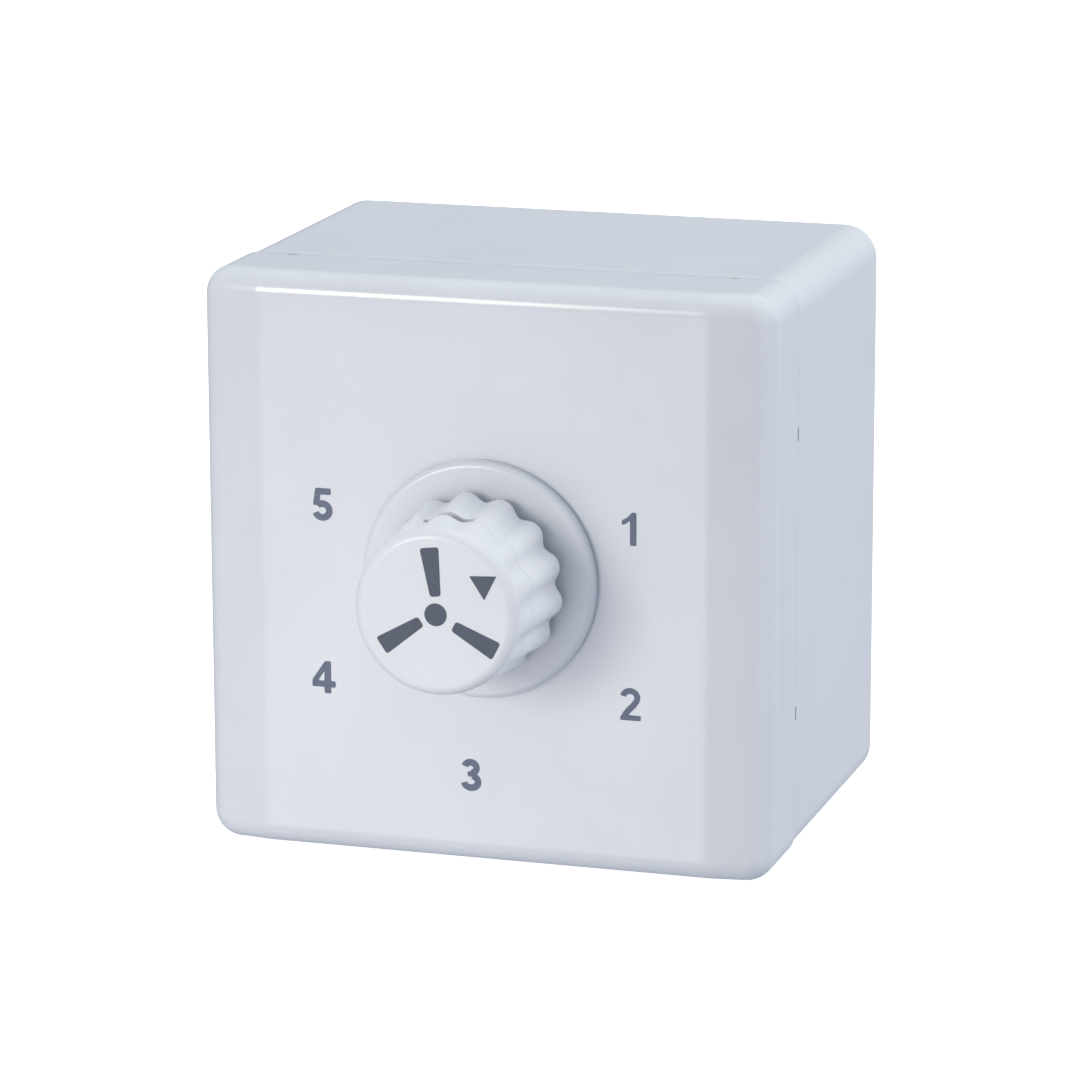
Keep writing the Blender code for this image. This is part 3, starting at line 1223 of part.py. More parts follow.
# ---------------------------------------------------------------- assembly
def main():
    for old in list(bpy.data.objects):
        bpy.data.objects.remove(old, do_unlink=True)
    mats = make_materials()
    surface_box(mats)
    cable_grommet(mats)
    front_cover(mats)
    dial_collar(mats)
    mounting_frame(mats)
    fixings(mats)
    switch_cover(mats)
    switch_base(mats)
    bush_and_nut(mats)
    detent(mats)
    contacts(mats)
    switch_rivets(mats)
    core_stacks(mats)
    coil(mats)
    brackets(mats)
    choke_fasteners(mats)
    terminals(mats)
    leads(mats)

    axis = bpy.data.objects.new("control_axis", None)
    bpy.context.scene.collection.objects.link(axis)
    axis.rotation_euler = (0.0, math.radians(REST_TURN), 0.0)
    for make in (control_shaft, index_wheel, rotor, wiper, knob_body, knob_cap, knob_clip):
        ride(make(mats), axis)


def ride(piece, axis):
    """Parents a piece, and the tools that shape it, to the axis it turns about."""
    for step in piece.modifiers:
        step.object.rotation_euler = piece.rotation_euler
        step.object.parent = axis
    piece.parent = axis


main()
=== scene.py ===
import math

import bmesh
import bpy
from mathutils import Matrix, Vector


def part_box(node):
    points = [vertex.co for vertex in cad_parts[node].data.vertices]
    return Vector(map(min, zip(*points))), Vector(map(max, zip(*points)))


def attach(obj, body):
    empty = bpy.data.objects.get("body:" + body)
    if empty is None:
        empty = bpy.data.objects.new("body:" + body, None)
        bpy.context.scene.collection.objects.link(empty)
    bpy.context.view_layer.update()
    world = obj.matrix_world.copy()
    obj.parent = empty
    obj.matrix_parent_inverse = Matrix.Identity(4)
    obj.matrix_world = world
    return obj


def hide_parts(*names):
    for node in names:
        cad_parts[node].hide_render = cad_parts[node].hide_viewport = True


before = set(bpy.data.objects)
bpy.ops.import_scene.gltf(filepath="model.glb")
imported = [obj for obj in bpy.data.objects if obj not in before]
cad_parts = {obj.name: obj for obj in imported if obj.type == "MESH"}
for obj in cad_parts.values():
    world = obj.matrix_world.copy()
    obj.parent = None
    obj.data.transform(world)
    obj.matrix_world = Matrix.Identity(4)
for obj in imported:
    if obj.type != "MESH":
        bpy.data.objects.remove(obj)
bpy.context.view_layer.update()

MM = 0.001

# ---------------------------------------------------------------- places read from the CAD
COVER_LOW, COVER_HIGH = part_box("front_cover")
BOX_FRONT_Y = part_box("surface_box")[0].y
DIAL_FRONT_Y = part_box("dial_collar")[0].y
HUB_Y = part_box("knob_body")[1].y
KNOB_FRONT_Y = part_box("knob_cap")[0].y

WIDTH = COVER_HIGH.x - COVER_LOW.x
HEIGHT = COVER_HIGH.z - COVER_LOW.z
FACE_Y = COVER_LOW.y
SEAM = 0.07 * MM
COVER_BACK_Y = BOX_FRONT_Y - SEAM
KNOB_BACK_Y = HUB_Y - 3.0 * MM

# ---------------------------------------------------------------- sizes of the fine surfaces
CORNER_STEPS = 14
ROUND_STEPS = 12
EDGE_BREAK = 0.12 * MM  # on both sides of the seam

COVER_RADIUS = 4.2 * MM
COVER_EDGE = 3.2 * MM
COVER_WALL = 2.2 * MM
BAND_WIDTH = 9.5 * MM
BAND_DROP = 1.3 * MM
CREASE = 0.8 * MM
DIAL_OPENING = 11.5 * MM
PRY_LEVEL = 20.7 * MM  # the marks' height above and below the middle
PRY_DEPTH = 0.8 * MM
PRY_HALF_IN = 0.9 * MM
PRY_HALF_OUT = 1.3 * MM

BOX_RADIUS = 5.0 * MM
BOX_WALL = 2.2 * MM
BOX_BACK = 2.5 * MM
BACK_EDGE = 0.6 * MM
PILLAR_X = 30.15 * MM
PILLAR_RADIUS = 4.6 * MM
PILLAR_SPAN = (-43.9 * MM, -1.2 * MM)  # along Y
WEB_SPAN = (33.0 * MM, 42.0 * MM)  # from the pillar to the wall
WEB_HALF = 1.0 * MM
INSERT_RADIUS = 3.05 * MM
INSERT_SPAN = (-45.0 * MM, -32.0 * MM)
WALL_SLOT_Z = 30.0 * MM
WALL_SLOT_HALF = 2.0 * MM  # from the middle to the centre of each round end
WALL_SLOT_RADIUS = 2.2 * MM
CABLE_RADIUS = 4.75 * MM
CABLE_Z = -34.5 * MM

DIAL_RADIUS = 17.5 * MM
DIAL_RIM = 0.9 * MM
DIAL_BORE = 5.6 * MM
NECK_BORE = 9.6 * MM
NECK_RADIUS = 11.2 * MM
NECK_HOOK = 11.9 * MM

FLUTES = 14
FLUTE_STEPS = 14
BACK_RADIUS = 13.5 * MM
FRONT_RADIUS = 11.95 * MM
FLUTE_DEPTH = 1.15 * MM
KNOB_ANGLE = 60.0  # clockwise from the top: the first speed
FLUTE_START = 1.6 * MM
SPLIT_Y = KNOB_FRONT_Y + 7.0 * MM
SPLIT_HALF = 0.02 * MM  # half the hairline between the knob's body and cap
KNOB_HUB = 4.9 * MM
KNOB_BORE = 3.0 * MM
KNOB_SKIN = 1.7 * MM
CAP_PLUG = 8.6 * MM
CAP_SEAT = 8.9 * MM
CAP_EDGE = 1.5 * MM
NOTCH_DEPTH = 1.6 * MM
NOTCH_ANGLE = KNOB_ANGLE - 62.0
NOTCH_HALF = 18.3
NOTCH_INNER = 10.35 * MM
NOTCH_OUTER = 14.5 * MM


# ---------------------------------------------------------------- node helpers
class Nodes:
    """A short way to build a material's node tree."""

    def __init__(self, name):
        self.material = bpy.data.materials.new(name)
        self.material.use_nodes = True
        self.tree = self.material.node_tree
        self.shader = self.tree.nodes["Principled BSDF"]
        self.place = self.add("ShaderNodeTexCoord").outputs["Object"]

    def add(self, kind, **values):
        node = self.tree.nodes.new(kind)
        for key, value in values.items():
            setattr(node, key, value)
        return node

    def link(self, out, into):
        self.tree.links.new(out, into)
        return into

    def noise(self, scale, detail=2.0, rough=0.5, stretch=(1.0, 1.0, 1.0)):
        mapping = self.add("ShaderNodeMapping")
        mapping.inputs["Scale"].default_value = stretch
        self.link(self.place, mapping.inputs["Vector"])
        made = self.add("ShaderNodeTexNoise")
        made.inputs["Scale"].default_value = scale
        made.inputs["Detail"].default_value = detail
        made.inputs["Roughness"].default_value = rough
        self.link(mapping.outputs["Vector"], made.inputs["Vector"])
        return made.outputs["Fac"]

    def bands(self, pitch, axis, profile, distortion):
        made = self.add("ShaderNodeTexWave", wave_type="BANDS", bands_direction=axis, wave_profile=profile)
        made.inputs["Scale"].default_value = 1.0 / pitch / 6.283
        made.inputs["Distortion"].default_value = distortion
        self.link(self.place, made.inputs["Vector"])
        return made.outputs["Fac"]

    def ramp(self, fac, stops):
        made = self.add("ShaderNodeValToRGB")
        while len(made.color_ramp.elements) < len(stops):
            made.color_ramp.elements.new(0.5)
        for element, (place, colour) in zip(made.color_ramp.elements, stops):
            element.position = place
            element.color = (*colour, 1.0)
        self.link(fac, made.inputs["Fac"])
        return made.outputs["Color"]

    def cloud(self, fac, colour, low, high, dark, light):
        """The colour, times dark where fac is below low and times light where it is above high."""
        return self.ramp(fac, [(low, tint(colour, dark)), (high, tint(colour, light))])

    def span(self, fac, low, high):
        made = self.add("ShaderNodeMapRange")
        made.inputs["To Min"].default_value = low
        made.inputs["To Max"].default_value = high
        self.link(fac, made.inputs["Value"])
        return made.outputs["Result"]

    def bump(self, height, distance, strength=1.0, below=None):
        made = self.add("ShaderNodeBump")
        made.inputs["Distance"].default_value = distance
        made.inputs["Strength"].default_value = strength
        self.link(height, made.inputs["Height"])
        if below is not None:
            self.link(below, made.inputs["Normal"])
        return made.outputs["Normal"]

    def set(self, **values):
        for key, value in values.items():
            socket = self.shader.inputs[key.replace("_", " ")]
            if hasattr(value, "is_linked"):
                self.link(value, socket)
            else:
                socket.default_value = value


def tint(colour, factor):
    return tuple(channel * factor for channel in colour)


def moulded(name, colour, rough=(0.2, 0.3), grain=0.004, coat=0.25, spread=0.03, subsurface=0.0):
    """Injection-moulded plastic: faint flow mottling, a very fine skin and a slow surface waviness."""
    n = Nodes(name)
    mottle = n.noise(55.0, 3.0, 0.55)
    n.set(Base_Color=n.cloud(mottle, colour, 0.3, 0.7, 1 - spread, 1 + spread * 0.6))
    n.set(Roughness=n.span(n.noise(160.0, 4.0, 0.6), *rough))
    slow = n.bump(n.noise(70.0, 1.0), 0.03 * MM, 0.35)
    n.set(Normal=n.bump(n.noise(2600.0, 1.0), grain * MM, 0.25, slow))
    n.set(Coat_Weight=coat, Coat_Roughness=0.12, IOR=1.5)
    if subsurface:
        n.set(Subsurface_Weight=subsurface, Subsurface_Scale=0.002)
    return n.material


def metal(name, colour, rough=(0.25, 0.42), brushed=(1.0, 1.0, 1.0)):
    """Plated or bare metal: streaked brightness, uneven roughness and fine scratches."""
    n = Nodes(name)
    streak = n.noise(900.0, 4.0, 0.6, brushed)
    n.set(Base_Color=n.cloud(n.noise(120.0), colour, 0.3, 0.75, 0.9, 1.05))
    n.set(Roughness=n.span(streak, *rough), Metallic=1.0)
    n.set(Normal=n.bump(streak, 0.01 * MM, 0.5))
    return n.material


def laminated(name):
    """Thin varnished steel sheets, stacked along the depth axis."""
    n = Nodes(name)
    sheets = n.bands(0.5 * MM, "Y", "SAW", 0.0)
    dark, light = (0.045, 0.047, 0.052), (0.20, 0.20, 0.215)
    n.set(Base_Color=n.ramp(sheets, [(0.0, dark), (0.25, light), (0.9, light)]))
    n.set(Metallic=0.85, Roughness=n.span(n.noise(800.0, 3.0), 0.35, 0.6))
    n.set(Normal=n.bump(sheets, 0.06 * MM, 0.6))
    return n.material


def wound(name):
    """Close turns of enamelled wire around the X axis, with painted shade darkening the groove between turns.
    """
    n = Nodes(name)
    turns = n.bands(0.35 * MM, "X", "SIN", 0.4)
    # painted shade: the copper colour is darkened towards the groove between neighbouring turns
    n.set(Base_Color=n.ramp(turns, [(0.0, (0.10, 0.025, 0.01)), (0.5, (0.50, 0.17, 0.07))]))
    n.set(Metallic=0.8, Roughness=0.28, Coat_Weight=0.6, Coat_Roughness=0.1)
    n.set(Normal=n.bump(turns, 0.12 * MM, 0.8))
    return n.material


def printed(name, colour):
    """Pad-printed ink: slightly uneven cover with a satin face."""
    n = Nodes(name)
    patch = n.noise(1800.0, 3.0, 0.6)
    n.set(Base_Color=n.cloud(patch, colour, 0.3, 0.75, 0.88, 1.15))
    n.set(Roughness=n.span(n.noise(900.0), 0.38, 0.5))
    n.set(Normal=n.bump(patch, 0.004 * MM, 0.4))
    return n.material


WHITE = (0.655, 0.68, 0.725)
LEAD = {"rough": (0.3, 0.42), "coat": 0.1, "spread": 0.08}
looks = {
    "cover": moulded("cover_plastic", WHITE, rough=(0.17, 0.25), coat=0.35),
    "box": moulded("box_plastic", WHITE, rough=(0.18, 0.26), coat=0.3, grain=0.0),
    "knob": moulded(
        "knob_plastic", tint(WHITE, 0.99), rough=(0.3, 0.4), coat=0.15, grain=0.003, subsurface=0.06
    ),
    "dial": moulded("dial_plastic", WHITE, rough=(0.26, 0.36), coat=0.2),
    "ink": printed("slate_ink", (0.045, 0.062, 0.100)),
    "ink_plate": printed("slate_ink_plate", (0.100, 0.125, 0.190)),
    "nylon": moulded("nylon_plastic", (0.72, 0.70, 0.60), rough=(0.4, 0.55), coat=0.0, spread=0.06),
    "phenolic": moulded("phenolic_plastic", (0.16, 0.075, 0.035), rough=(0.35, 0.55), coat=0.1, spread=0.2),
    "tape": moulded("coil_tape_film", (0.78, 0.58, 0.08), rough=(0.2, 0.35), coat=0.5, spread=0.08),
    "rubber": moulded("grommet_rubber", (0.025, 0.025, 0.027), rough=(0.6, 0.8), coat=0.0, spread=0.2),
    "lead": moulded("lead_insulation", (0.50, 0.035, 0.03), **LEAD),
    "lead_blue": moulded("lead_insulation_blue", (0.03, 0.10, 0.42), **LEAD),
    "zinc": metal("zinc_plate", (0.60, 0.61, 0.62), brushed=(1.0, 1.0, 0.15)),
    "brass": metal("machined_brass", (0.74, 0.53, 0.22), rough=(0.2, 0.36)),
    "bronze": metal("spring_bronze", (0.62, 0.40, 0.20), rough=(0.22, 0.36)),
    "steel": metal("bright_steel", (0.66, 0.66, 0.67), rough=(0.12, 0.25)),
    "core": laminated("core_laminations"),
    "copper": wound("enamelled_winding"),
}


# ---------------------------------------------------------------- mesh helpers
def finished(name, bm, look, body, replaced=(), angle=40.0):
    bmesh.ops.recalc_face_normals(bm, faces=bm.faces)
    mesh = bpy.data.meshes.new(name)
    bm.to_mesh(mesh)
    bm.free()
    mesh.shade_smooth()
    mesh.set_sharp_from_angle(angle=math.radians(angle))
    made = bpy.data.objects.new(name, mesh)
    bpy.context.scene.collection.objects.link(made)
    mesh.materials.append(looks[look])
    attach(made, body)
    if replaced:
        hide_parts(*replaced)
    return made


def skin(bm, rings, closed=False):
    layers = [[bm.verts.new(point) for point in ring] for ring in rings]
    pairs = list(zip(layers, layers[1:]))
    if closed:
        pairs.append((layers[-1], layers[0]))
    for near, far in pairs:
        for i, vert in enumerate(near):
            follow = (i + 1) % len(near)
            bm.faces.new((vert, near[follow], far[follow], far[i]))
    return layers


def corner(centre, radius, start, steps):
    turns = [math.radians(start + 90.0 * i / steps) for i in range(steps + 1)]
    return [(centre[0] + radius * math.sin(t), centre[1] + radius * math.cos(t)) for t in turns]


def prism(bm, near, far):
    """Closes two matching outlines into a prism."""
    bm.faces.new(near)
    bm.faces.new(far)
    for i in range(len(near)):
        follow = (i + 1) % len(near)
        bm.faces.new((near[i], near[follow], far[follow], far[i]))


def cutter(name, outline, axis_from, axis_to, axis="Y"):
    """A hidden prism for a Boolean: an outline in the plane across the axis, run along the axis."""
    bm = bmesh.new()

    def at(a, b, along):
        return (a, along, b) if axis == "Y" else (along, a, b)

    near = [bm.verts.new(at(a, b, axis_from)) for a, b in outline]
    far = [bm.verts.new(at(a, b, axis_to)) for a, b in outline]
    prism(bm, near, far)
    bmesh.ops.recalc_face_normals(bm, faces=bm.faces)
    mesh = bpy.data.meshes.new(name)
    bm.to_mesh(mesh)
    bm.free()
    made = bpy.data.objects.new(name, mesh)
    bpy.context.scene.collection.objects.link(made)
    made.hide_render = True
    made.hide_viewport = True
    made.display_type = "WIRE"
    return made


def boolean(target, tool, operation="DIFFERENCE"):
    step = target.modifiers.new(tool.name, "BOOLEAN")
    step.operation = operation
    step.object = tool
    step.solver = "EXACT"


def even_shading(target):
    """Keeps flat faces flat where they meet a rounding."""
    step = target.modifiers.new("even_shading", "WEIGHTED_NORMAL")
    step.keep_sharp = True
    step.weight = 60


def round_outline(radius, steps, at=(0.0, 0.0)):
    turns = [math.tau * i / steps for i in range(steps)]
    return [(at[0] + radius * math.sin(t), at[1] + radius * math.cos(t)) for t in turns]


# ---------------------------------------------------------------- front cover
def soft_drop(x):
    """How far the face falls back at x: level in the middle, sloping side bands, a soft crease between."""
    past = abs(x) - (WIDTH / 2 - BAND_WIDTH)
    slope = BAND_DROP / BAND_WIDTH
    if past <= -CREASE:
        return 0.0
    if past >= CREASE:
        return slope * past
    return slope * (past + CREASE) ** 2 / (4 * CREASE)


def edge_places():
    """Places along the top and bottom edges: even in the middle, close together across each crease."""
    start = WIDTH / 2 - BAND_WIDTH
    end = WIDTH / 2 - COVER_RADIUS
    half = [0.0, 12.0 * MM, 24.0 * MM]
    half += [start + CREASE * (i / 4 - 1) for i in range(9)]
    half += [(start + end) / 2 + 0.3 * CREASE, end]
    return [-x for x in reversed(half[1:])] + half


PLACES = edge_places()
RISE = [(HEIGHT / 2 - COVER_RADIUS) * share for share in (0.6, 0.2, -0.2, -0.6)]


def cover_ring(inset, y, follows):
    """The cover's outline drawn in by inset, from the top left, and how many points its top chain has."""
    half_x, half_z = WIDTH / 2 - inset, HEIGHT / 2 - inset
    radius = max(COVER_RADIUS - inset, 0.02 * MM)
    cx, cz = half_x - radius, half_z - radius
    right = corner((cx, cz), radius, 0.0, CORNER_STEPS)
    top = [(-x, z) for x, z in reversed(right)] + [(max(-cx, min(cx, x)), half_z) for x in PLACES[1:-1]] + right
    bottom = [(x, -z) for x, z in top]
    flat = top + [(half_x, z) for z in RISE] + bottom[::-1] + [(-half_x, z) for z in reversed(RISE)]
    return [(x, y + (soft_drop(x) if follows else 0.0), z) for x, z in flat], len(top)


def cap(bm, layer, chain):
    """Closes a ring with strips that run from its top chain to its bottom chain."""
    side = len(RISE)
    top = layer[:chain]
    bottom = layer[chain + side : 2 * chain + side][::-1]
    for i in range(chain - 1):
        ends = [top[i], top[i + 1]]
        if i == chain - 2:
            ends += layer[chain : chain + side]
        ends += [bottom[i + 1], bottom[i]]
        if i == 0:
            ends += layer[2 * chain + side :]
        bm.faces.new(ends)


def front_cover():
    inner_y = FACE_Y + COVER_WALL
    rings = [
        cover_ring(COVER_WALL, inner_y, True),
        cover_ring(COVER_WALL, COVER_BACK_Y, False),
        cover_ring(EDGE_BREAK, COVER_BACK_Y, False),
        cover_ring(0.0, COVER_BACK_Y - EDGE_BREAK, False),
        cover_ring(0.0, COVER_BACK_Y - 2.0 * MM, False),
        cover_ring(0.0, FACE_Y + COVER_EDGE + 1.2 * MM, True),
    ]
    for i in range(ROUND_STEPS + 1):
        turn = math.radians(90.0 * i / ROUND_STEPS)
        inset = COVER_EDGE * (1 - math.cos(turn))
        rings.append(cover_ring(inset, FACE_Y + COVER_EDGE * (1 - math.sin(turn)), True))
    rings.append(cover_ring(COVER_EDGE + 0.5 * MM, FACE_Y, True))
    rings.append(cover_ring(COVER_EDGE + 0.95 * MM, FACE_Y, True))
    chain = rings[0][1]
    bm = bmesh.new()
    layers = skin(bm, [points for points, _ in rings])
    cap(bm, layers[0], chain)
    cap(bm, layers[-1], chain)
    made = finished("cover_shell", bm, "cover", "controller", ["front_cover"], angle=50.0)
    boolean(made, cutter("dial_opening", round_outline(DIAL_OPENING, 64), FACE_Y - MM, inner_y + MM))
    inside_y, outside_y = COVER_BACK_Y - PRY_DEPTH, COVER_BACK_Y + MM
    for side in (1, -1):
        xs = sorted((side * (WIDTH / 2 - 1.2 * MM), side * (WIDTH / 2 + MM)))
        for level in (1, -1):
            z = level * PRY_LEVEL
            outline = [
                (inside_y, z - PRY_HALF_IN),
                (inside_y, z + PRY_HALF_IN),
                (outside_y, z + PRY_HALF_OUT),
                (outside_y, z - PRY_HALF_OUT),
            ]
            name = f"pry_mark_{'right' if side > 0 else 'left'}_{'top' if level > 0 else 'bottom'}"
            boolean(made, cutter(name, outline, *xs, axis="X"))
    even_shading(made)


# ---------------------------------------------------------------- surface box
def box_ring(inset, y):
    radius = max(BOX_RADIUS - inset, 0.02 * MM)
    x, z = WIDTH / 2 - inset - radius, HEIGHT / 2 - inset - radius
    points = []
    for centre, start in (((x, z), 0.0), ((x, -z), 90.0), ((-x, -z), 180.0), ((-x, z), 270.0)):
        points += corner(centre, radius, start, CORNER_STEPS)
    return [(px, y, pz) for px, pz in points]


def slot_outline(centre, upright):
    """A wall slot with round ends."""
    outline = []
    for end in (1, -1):
        for i in range(13):
            turn = math.pi * (i / 12 - 0.5)
            along = end * (WALL_SLOT_HALF + WALL_SLOT_RADIUS * math.cos(turn))
            across = end * WALL_SLOT_RADIUS * math.sin(turn)
            outline.append((across, along) if upright else (along, across))
    return [(centre[0] + a, centre[1] + b) for a, b in outline]


def surface_box():
    """The deep box, open at the front, with its pillars, wall slots and cable entry."""
    rings = [box_ring(BACK_EDGE + 1.2 * MM, 0.0)]
    for i in range(6):
        turn = math.radians(90.0 * i / 5)
        rings.append(box_ring(BACK_EDGE * (1 - math.sin(turn)), -BACK_EDGE * (1 - math.cos(turn))))
    rings.append(box_ring(0.0, -BACK_EDGE - 1.5 * MM))
    rings.append(box_ring(0.0, BOX_FRONT_Y + 1.5 * MM))
    rings.append(box_ring(0.0, BOX_FRONT_Y + EDGE_BREAK))
    rings.append(box_ring(EDGE_BREAK, BOX_FRONT_Y))
    rings.append(box_ring(BOX_WALL, BOX_FRONT_Y))
    rings.append(box_ring(BOX_WALL, -BOX_BACK - MM))
    rings.append(box_ring(BOX_WALL + MM, -BOX_BACK))
    bm = bmesh.new()
    layers = skin(bm, rings)
    bm.faces.new(layers[0])
    bm.faces.new(layers[-1])
    made = finished("box_shell", bm, "box", "controller", ["surface_box"], angle=50.0)
    for side in (1, -1):
        tag = "right" if side > 0 else "left"
        at = (side * PILLAR_X, 0.0)
        boolean(made, cutter(f"pillar_{tag}", round_outline(PILLAR_RADIUS, 40, at), *PILLAR_SPAN), "UNION")
        near, far = sorted(side * x for x in WEB_SPAN)
        web = [(near, WEB_HALF), (far, WEB_HALF), (far, -WEB_HALF), (near, -WEB_HALF)]
        boolean(made, cutter(f"pillar_{tag}_web", web, *PILLAR_SPAN), "UNION")
        boolean(made, cutter(f"pillar_{tag}_bore", round_outline(INSERT_RADIUS, 32, at), *INSERT_SPAN))
        for level in (1, -1):
            outline = slot_outline((side * PILLAR_X, level * WALL_SLOT_Z), side > 0)
            name = f"wall_slot_{tag}_{'top' if level > 0 else 'bottom'}"
            boolean(made, cutter(name, outline, -BOX_BACK - MM, MM))
    cable_hole = round_outline(CABLE_RADIUS, 48, (0.0, CABLE_Z))
    boolean(made, cutter("cable_hole", cable_hole, -BOX_BACK - MM, MM))
    even_shading(made)


# ---------------------------------------------------------------- dial and knob
def ring_of(radius, y, count):
    turns = [math.tau * i / count for i in range(count)]
    return [(radius * math.sin(t), y, radius * math.cos(t)) for t in turns]


def dial():
    """The round collar: a flat disc with a rolled rim, its bore and the neck behind it."""
    back_y = FACE_Y - 0.06 * MM
    step_y = DIAL_FRONT_Y + 0.2 * MM
    profile = [
        (NECK_BORE, FACE_Y + 4.0 * MM),
        (NECK_BORE, back_y + 0.2 * MM),
        (DIAL_BORE, back_y + 0.2 * MM),
        (DIAL_BORE, step_y),
        (DIAL_BORE + 0.2 * MM, DIAL_FRONT_Y),
        (DIAL_BORE + 0.7 * MM, DIAL_FRONT_Y),
        (DIAL_RADIUS - 1.6 * MM, DIAL_FRONT_Y),
    ]
    for i in range(9):
        turn = math.radians(90.0 * i / 8)
        radius = DIAL_RADIUS - DIAL_RIM * (1 - math.sin(turn))
        profile.append((radius, DIAL_FRONT_Y + DIAL_RIM * (1 - math.cos(turn))))
    profile += [
        (DIAL_RADIUS, back_y - 0.25 * MM),
        (DIAL_RADIUS - 0.2 * MM, back_y),
        (NECK_RADIUS, back_y),
        (NECK_RADIUS, FACE_Y + 2.5 * MM),
        (NECK_HOOK, FACE_Y + 2.5 * MM),
        (NECK_HOOK, FACE_Y + 2.9 * MM),
        (NECK_RADIUS, FACE_Y + 4.0 * MM),
    ]
    bm = bmesh.new()
    skin(bm, [ring_of(radius, y, 128) for radius, y in profile], closed=True)
    made = finished("dial_disc", bm, "dial", "controller", ["dial_collar"], angle=35.0)
    even_shading(made)


def fluted(radius, depth, y):
    """A ring of rounded lobes with narrower valleys between them, one valley at the knob's set position."""
    count = FLUTES * FLUTE_STEPS
    ring = []
    for i in range(count):
        turn = math.tau * i / count
        valley = (0.5 + 0.5 * math.cos(turn * FLUTES)) ** 1.4
        reach = radius - depth * valley
        spin = turn + math.radians(KNOB_ANGLE)
        ring.append((reach * math.sin(spin), y, reach * math.cos(spin)))
    return ring


def grip_radius(y):
    share = (y - KNOB_FRONT_Y) / (KNOB_BACK_Y - KNOB_FRONT_Y)
    return FRONT_RADIUS + (BACK_RADIUS - FRONT_RADIUS) * share


def grip_ring(y, less=0.0):
    """The knob's outside at y. The flutes run out behind the face."""
    run = (y - KNOB_FRONT_Y - FLUTE_START) / (KNOB_BACK_Y - KNOB_FRONT_Y - FLUTE_START)
    return fluted(grip_radius(y) - less, FLUTE_DEPTH * max(0.0, run) ** 0.4, y)


def sector(centre, half, inner, outer):
    """The outline of a piece of a ring, from its middle angle and half its width, in degrees."""
    swings = [math.radians(centre + half * (i / 6 - 1)) for i in range(13)]
    return [(outer * math.sin(t), outer * math.cos(t)) for t in swings] + [
        (inner * math.sin(t), inner * math.cos(t)) for t in reversed(swings)
    ]


def closed_skin(rings):
    """A bmesh through the rings, closed by a face at each end."""
    bm = bmesh.new()
    layers = skin(bm, rings)
    bm.faces.new(layers[0])
    bm.faces.new(layers[-1])
    return bm


def knob_body():
    """The fluted body, with the notch that a blade lifts the cap by."""
    inner = BACK_RADIUS - FLUTE_DEPTH - KNOB_SKIN
    recess_y = SPLIT_Y + 2.0 * MM
    web_y = recess_y + 1.6 * MM
    plain = [
        (KNOB_BORE, recess_y + 0.6 * MM),
        (KNOB_BORE, HUB_Y),
        (KNOB_HUB, HUB_Y),
        (KNOB_HUB, web_y),
        (inner, web_y),
        (inner, KNOB_BACK_Y),
    ]
    rings = [fluted(radius, 0.0, y) for radius, y in plain]
    rings.append(grip_ring(KNOB_BACK_Y, 0.45 * MM))
    rings.append(grip_ring(KNOB_BACK_Y - 0.13 * MM, 0.13 * MM))
    start_y, end_y = KNOB_BACK_Y - 0.45 * MM, SPLIT_Y + SPLIT_HALF
    for i in range(13):
        rings.append(grip_ring(start_y + (end_y - start_y) * i / 12))
    rings.append(fluted(CAP_SEAT, 0.0, end_y))
    rings.append(fluted(CAP_SEAT, 0.0, recess_y))
    made = finished("knob_grip", closed_skin(rings), "knob", "control", ["knob_body"], angle=50.0)
    notch = sector(NOTCH_ANGLE, NOTCH_HALF, NOTCH_INNER, NOTCH_OUTER)
    tool = cutter("cap_notch", notch, SPLIT_Y - 0.1 * MM, SPLIT_Y + NOTCH_DEPTH)
    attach(tool, "control")
    boolean(made, tool)
    even_shading(made)


def knob_cap():
    """The cap: a smooth rounded face whose flutes run out behind its rim."""
    start_y, end_y = KNOB_FRONT_Y + FLUTE_START, SPLIT_Y - SPLIT_HALF
    rings = [fluted(CAP_PLUG, 0.0, SPLIT_Y + 1.5 * MM), fluted(CAP_PLUG, 0.0, end_y)]
    for share in (1.0, 0.86, 0.72, 0.58, 0.45, 0.33, 0.22, 0.13, 0.07, 0.03, 0.01, 0.0):
        rings.append(grip_ring(start_y + (end_y - start_y) * share))
    rim = grip_radius(KNOB_FRONT_Y + CAP_EDGE)
    for i in range(ROUND_STEPS + 1):
        turn = math.radians(90.0 * i / ROUND_STEPS)
        radius = rim - CAP_EDGE * (1 - math.cos(turn))
        rings.append(fluted(radius, 0.0, KNOB_FRONT_Y + CAP_EDGE * (1 - math.sin(turn))))
    rings.append(fluted(rim - CAP_EDGE - 0.4 * MM, 0.0, KNOB_FRONT_Y))
    made = finished("knob_face", closed_skin(rings), "knob", "control", ["knob_cap"], angle=50.0)
    even_shading(made)


# ---------------------------------------------------------------- printed marks
INK = 0.02 * MM


def plate_of_ink(name, outlines, holes, y, body, at, look="ink"):
    """Thin printed shapes: outlines are joined into one film, then the holes are taken out."""
    film = None
    for i, outline in enumerate(outlines):
        bm = bmesh.new()
        near = [bm.verts.new((at[0] + a, y - INK, at[1] + b)) for a, b in outline]
        far = [bm.verts.new((at[0] + a, y + 0.5 * INK, at[1] + b)) for a, b in outline]
        prism(bm, near, far)
        if film is None:
            film = finished(name, bm, look, body, angle=20.0)
            continue
        part = finished(f"{name}_part_{i}", bm, look, body, angle=20.0)
        part.hide_render = True
        part.hide_viewport = True
        boolean(film, part, "UNION")
    for i, outline in enumerate(holes):
        moved = [(at[0] + a, at[1] + b) for a, b in outline]
        tool = cutter(f"{name}_hole_{i}", moved, y - MM, y + MM)
        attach(tool, body)
        boolean(film, tool)


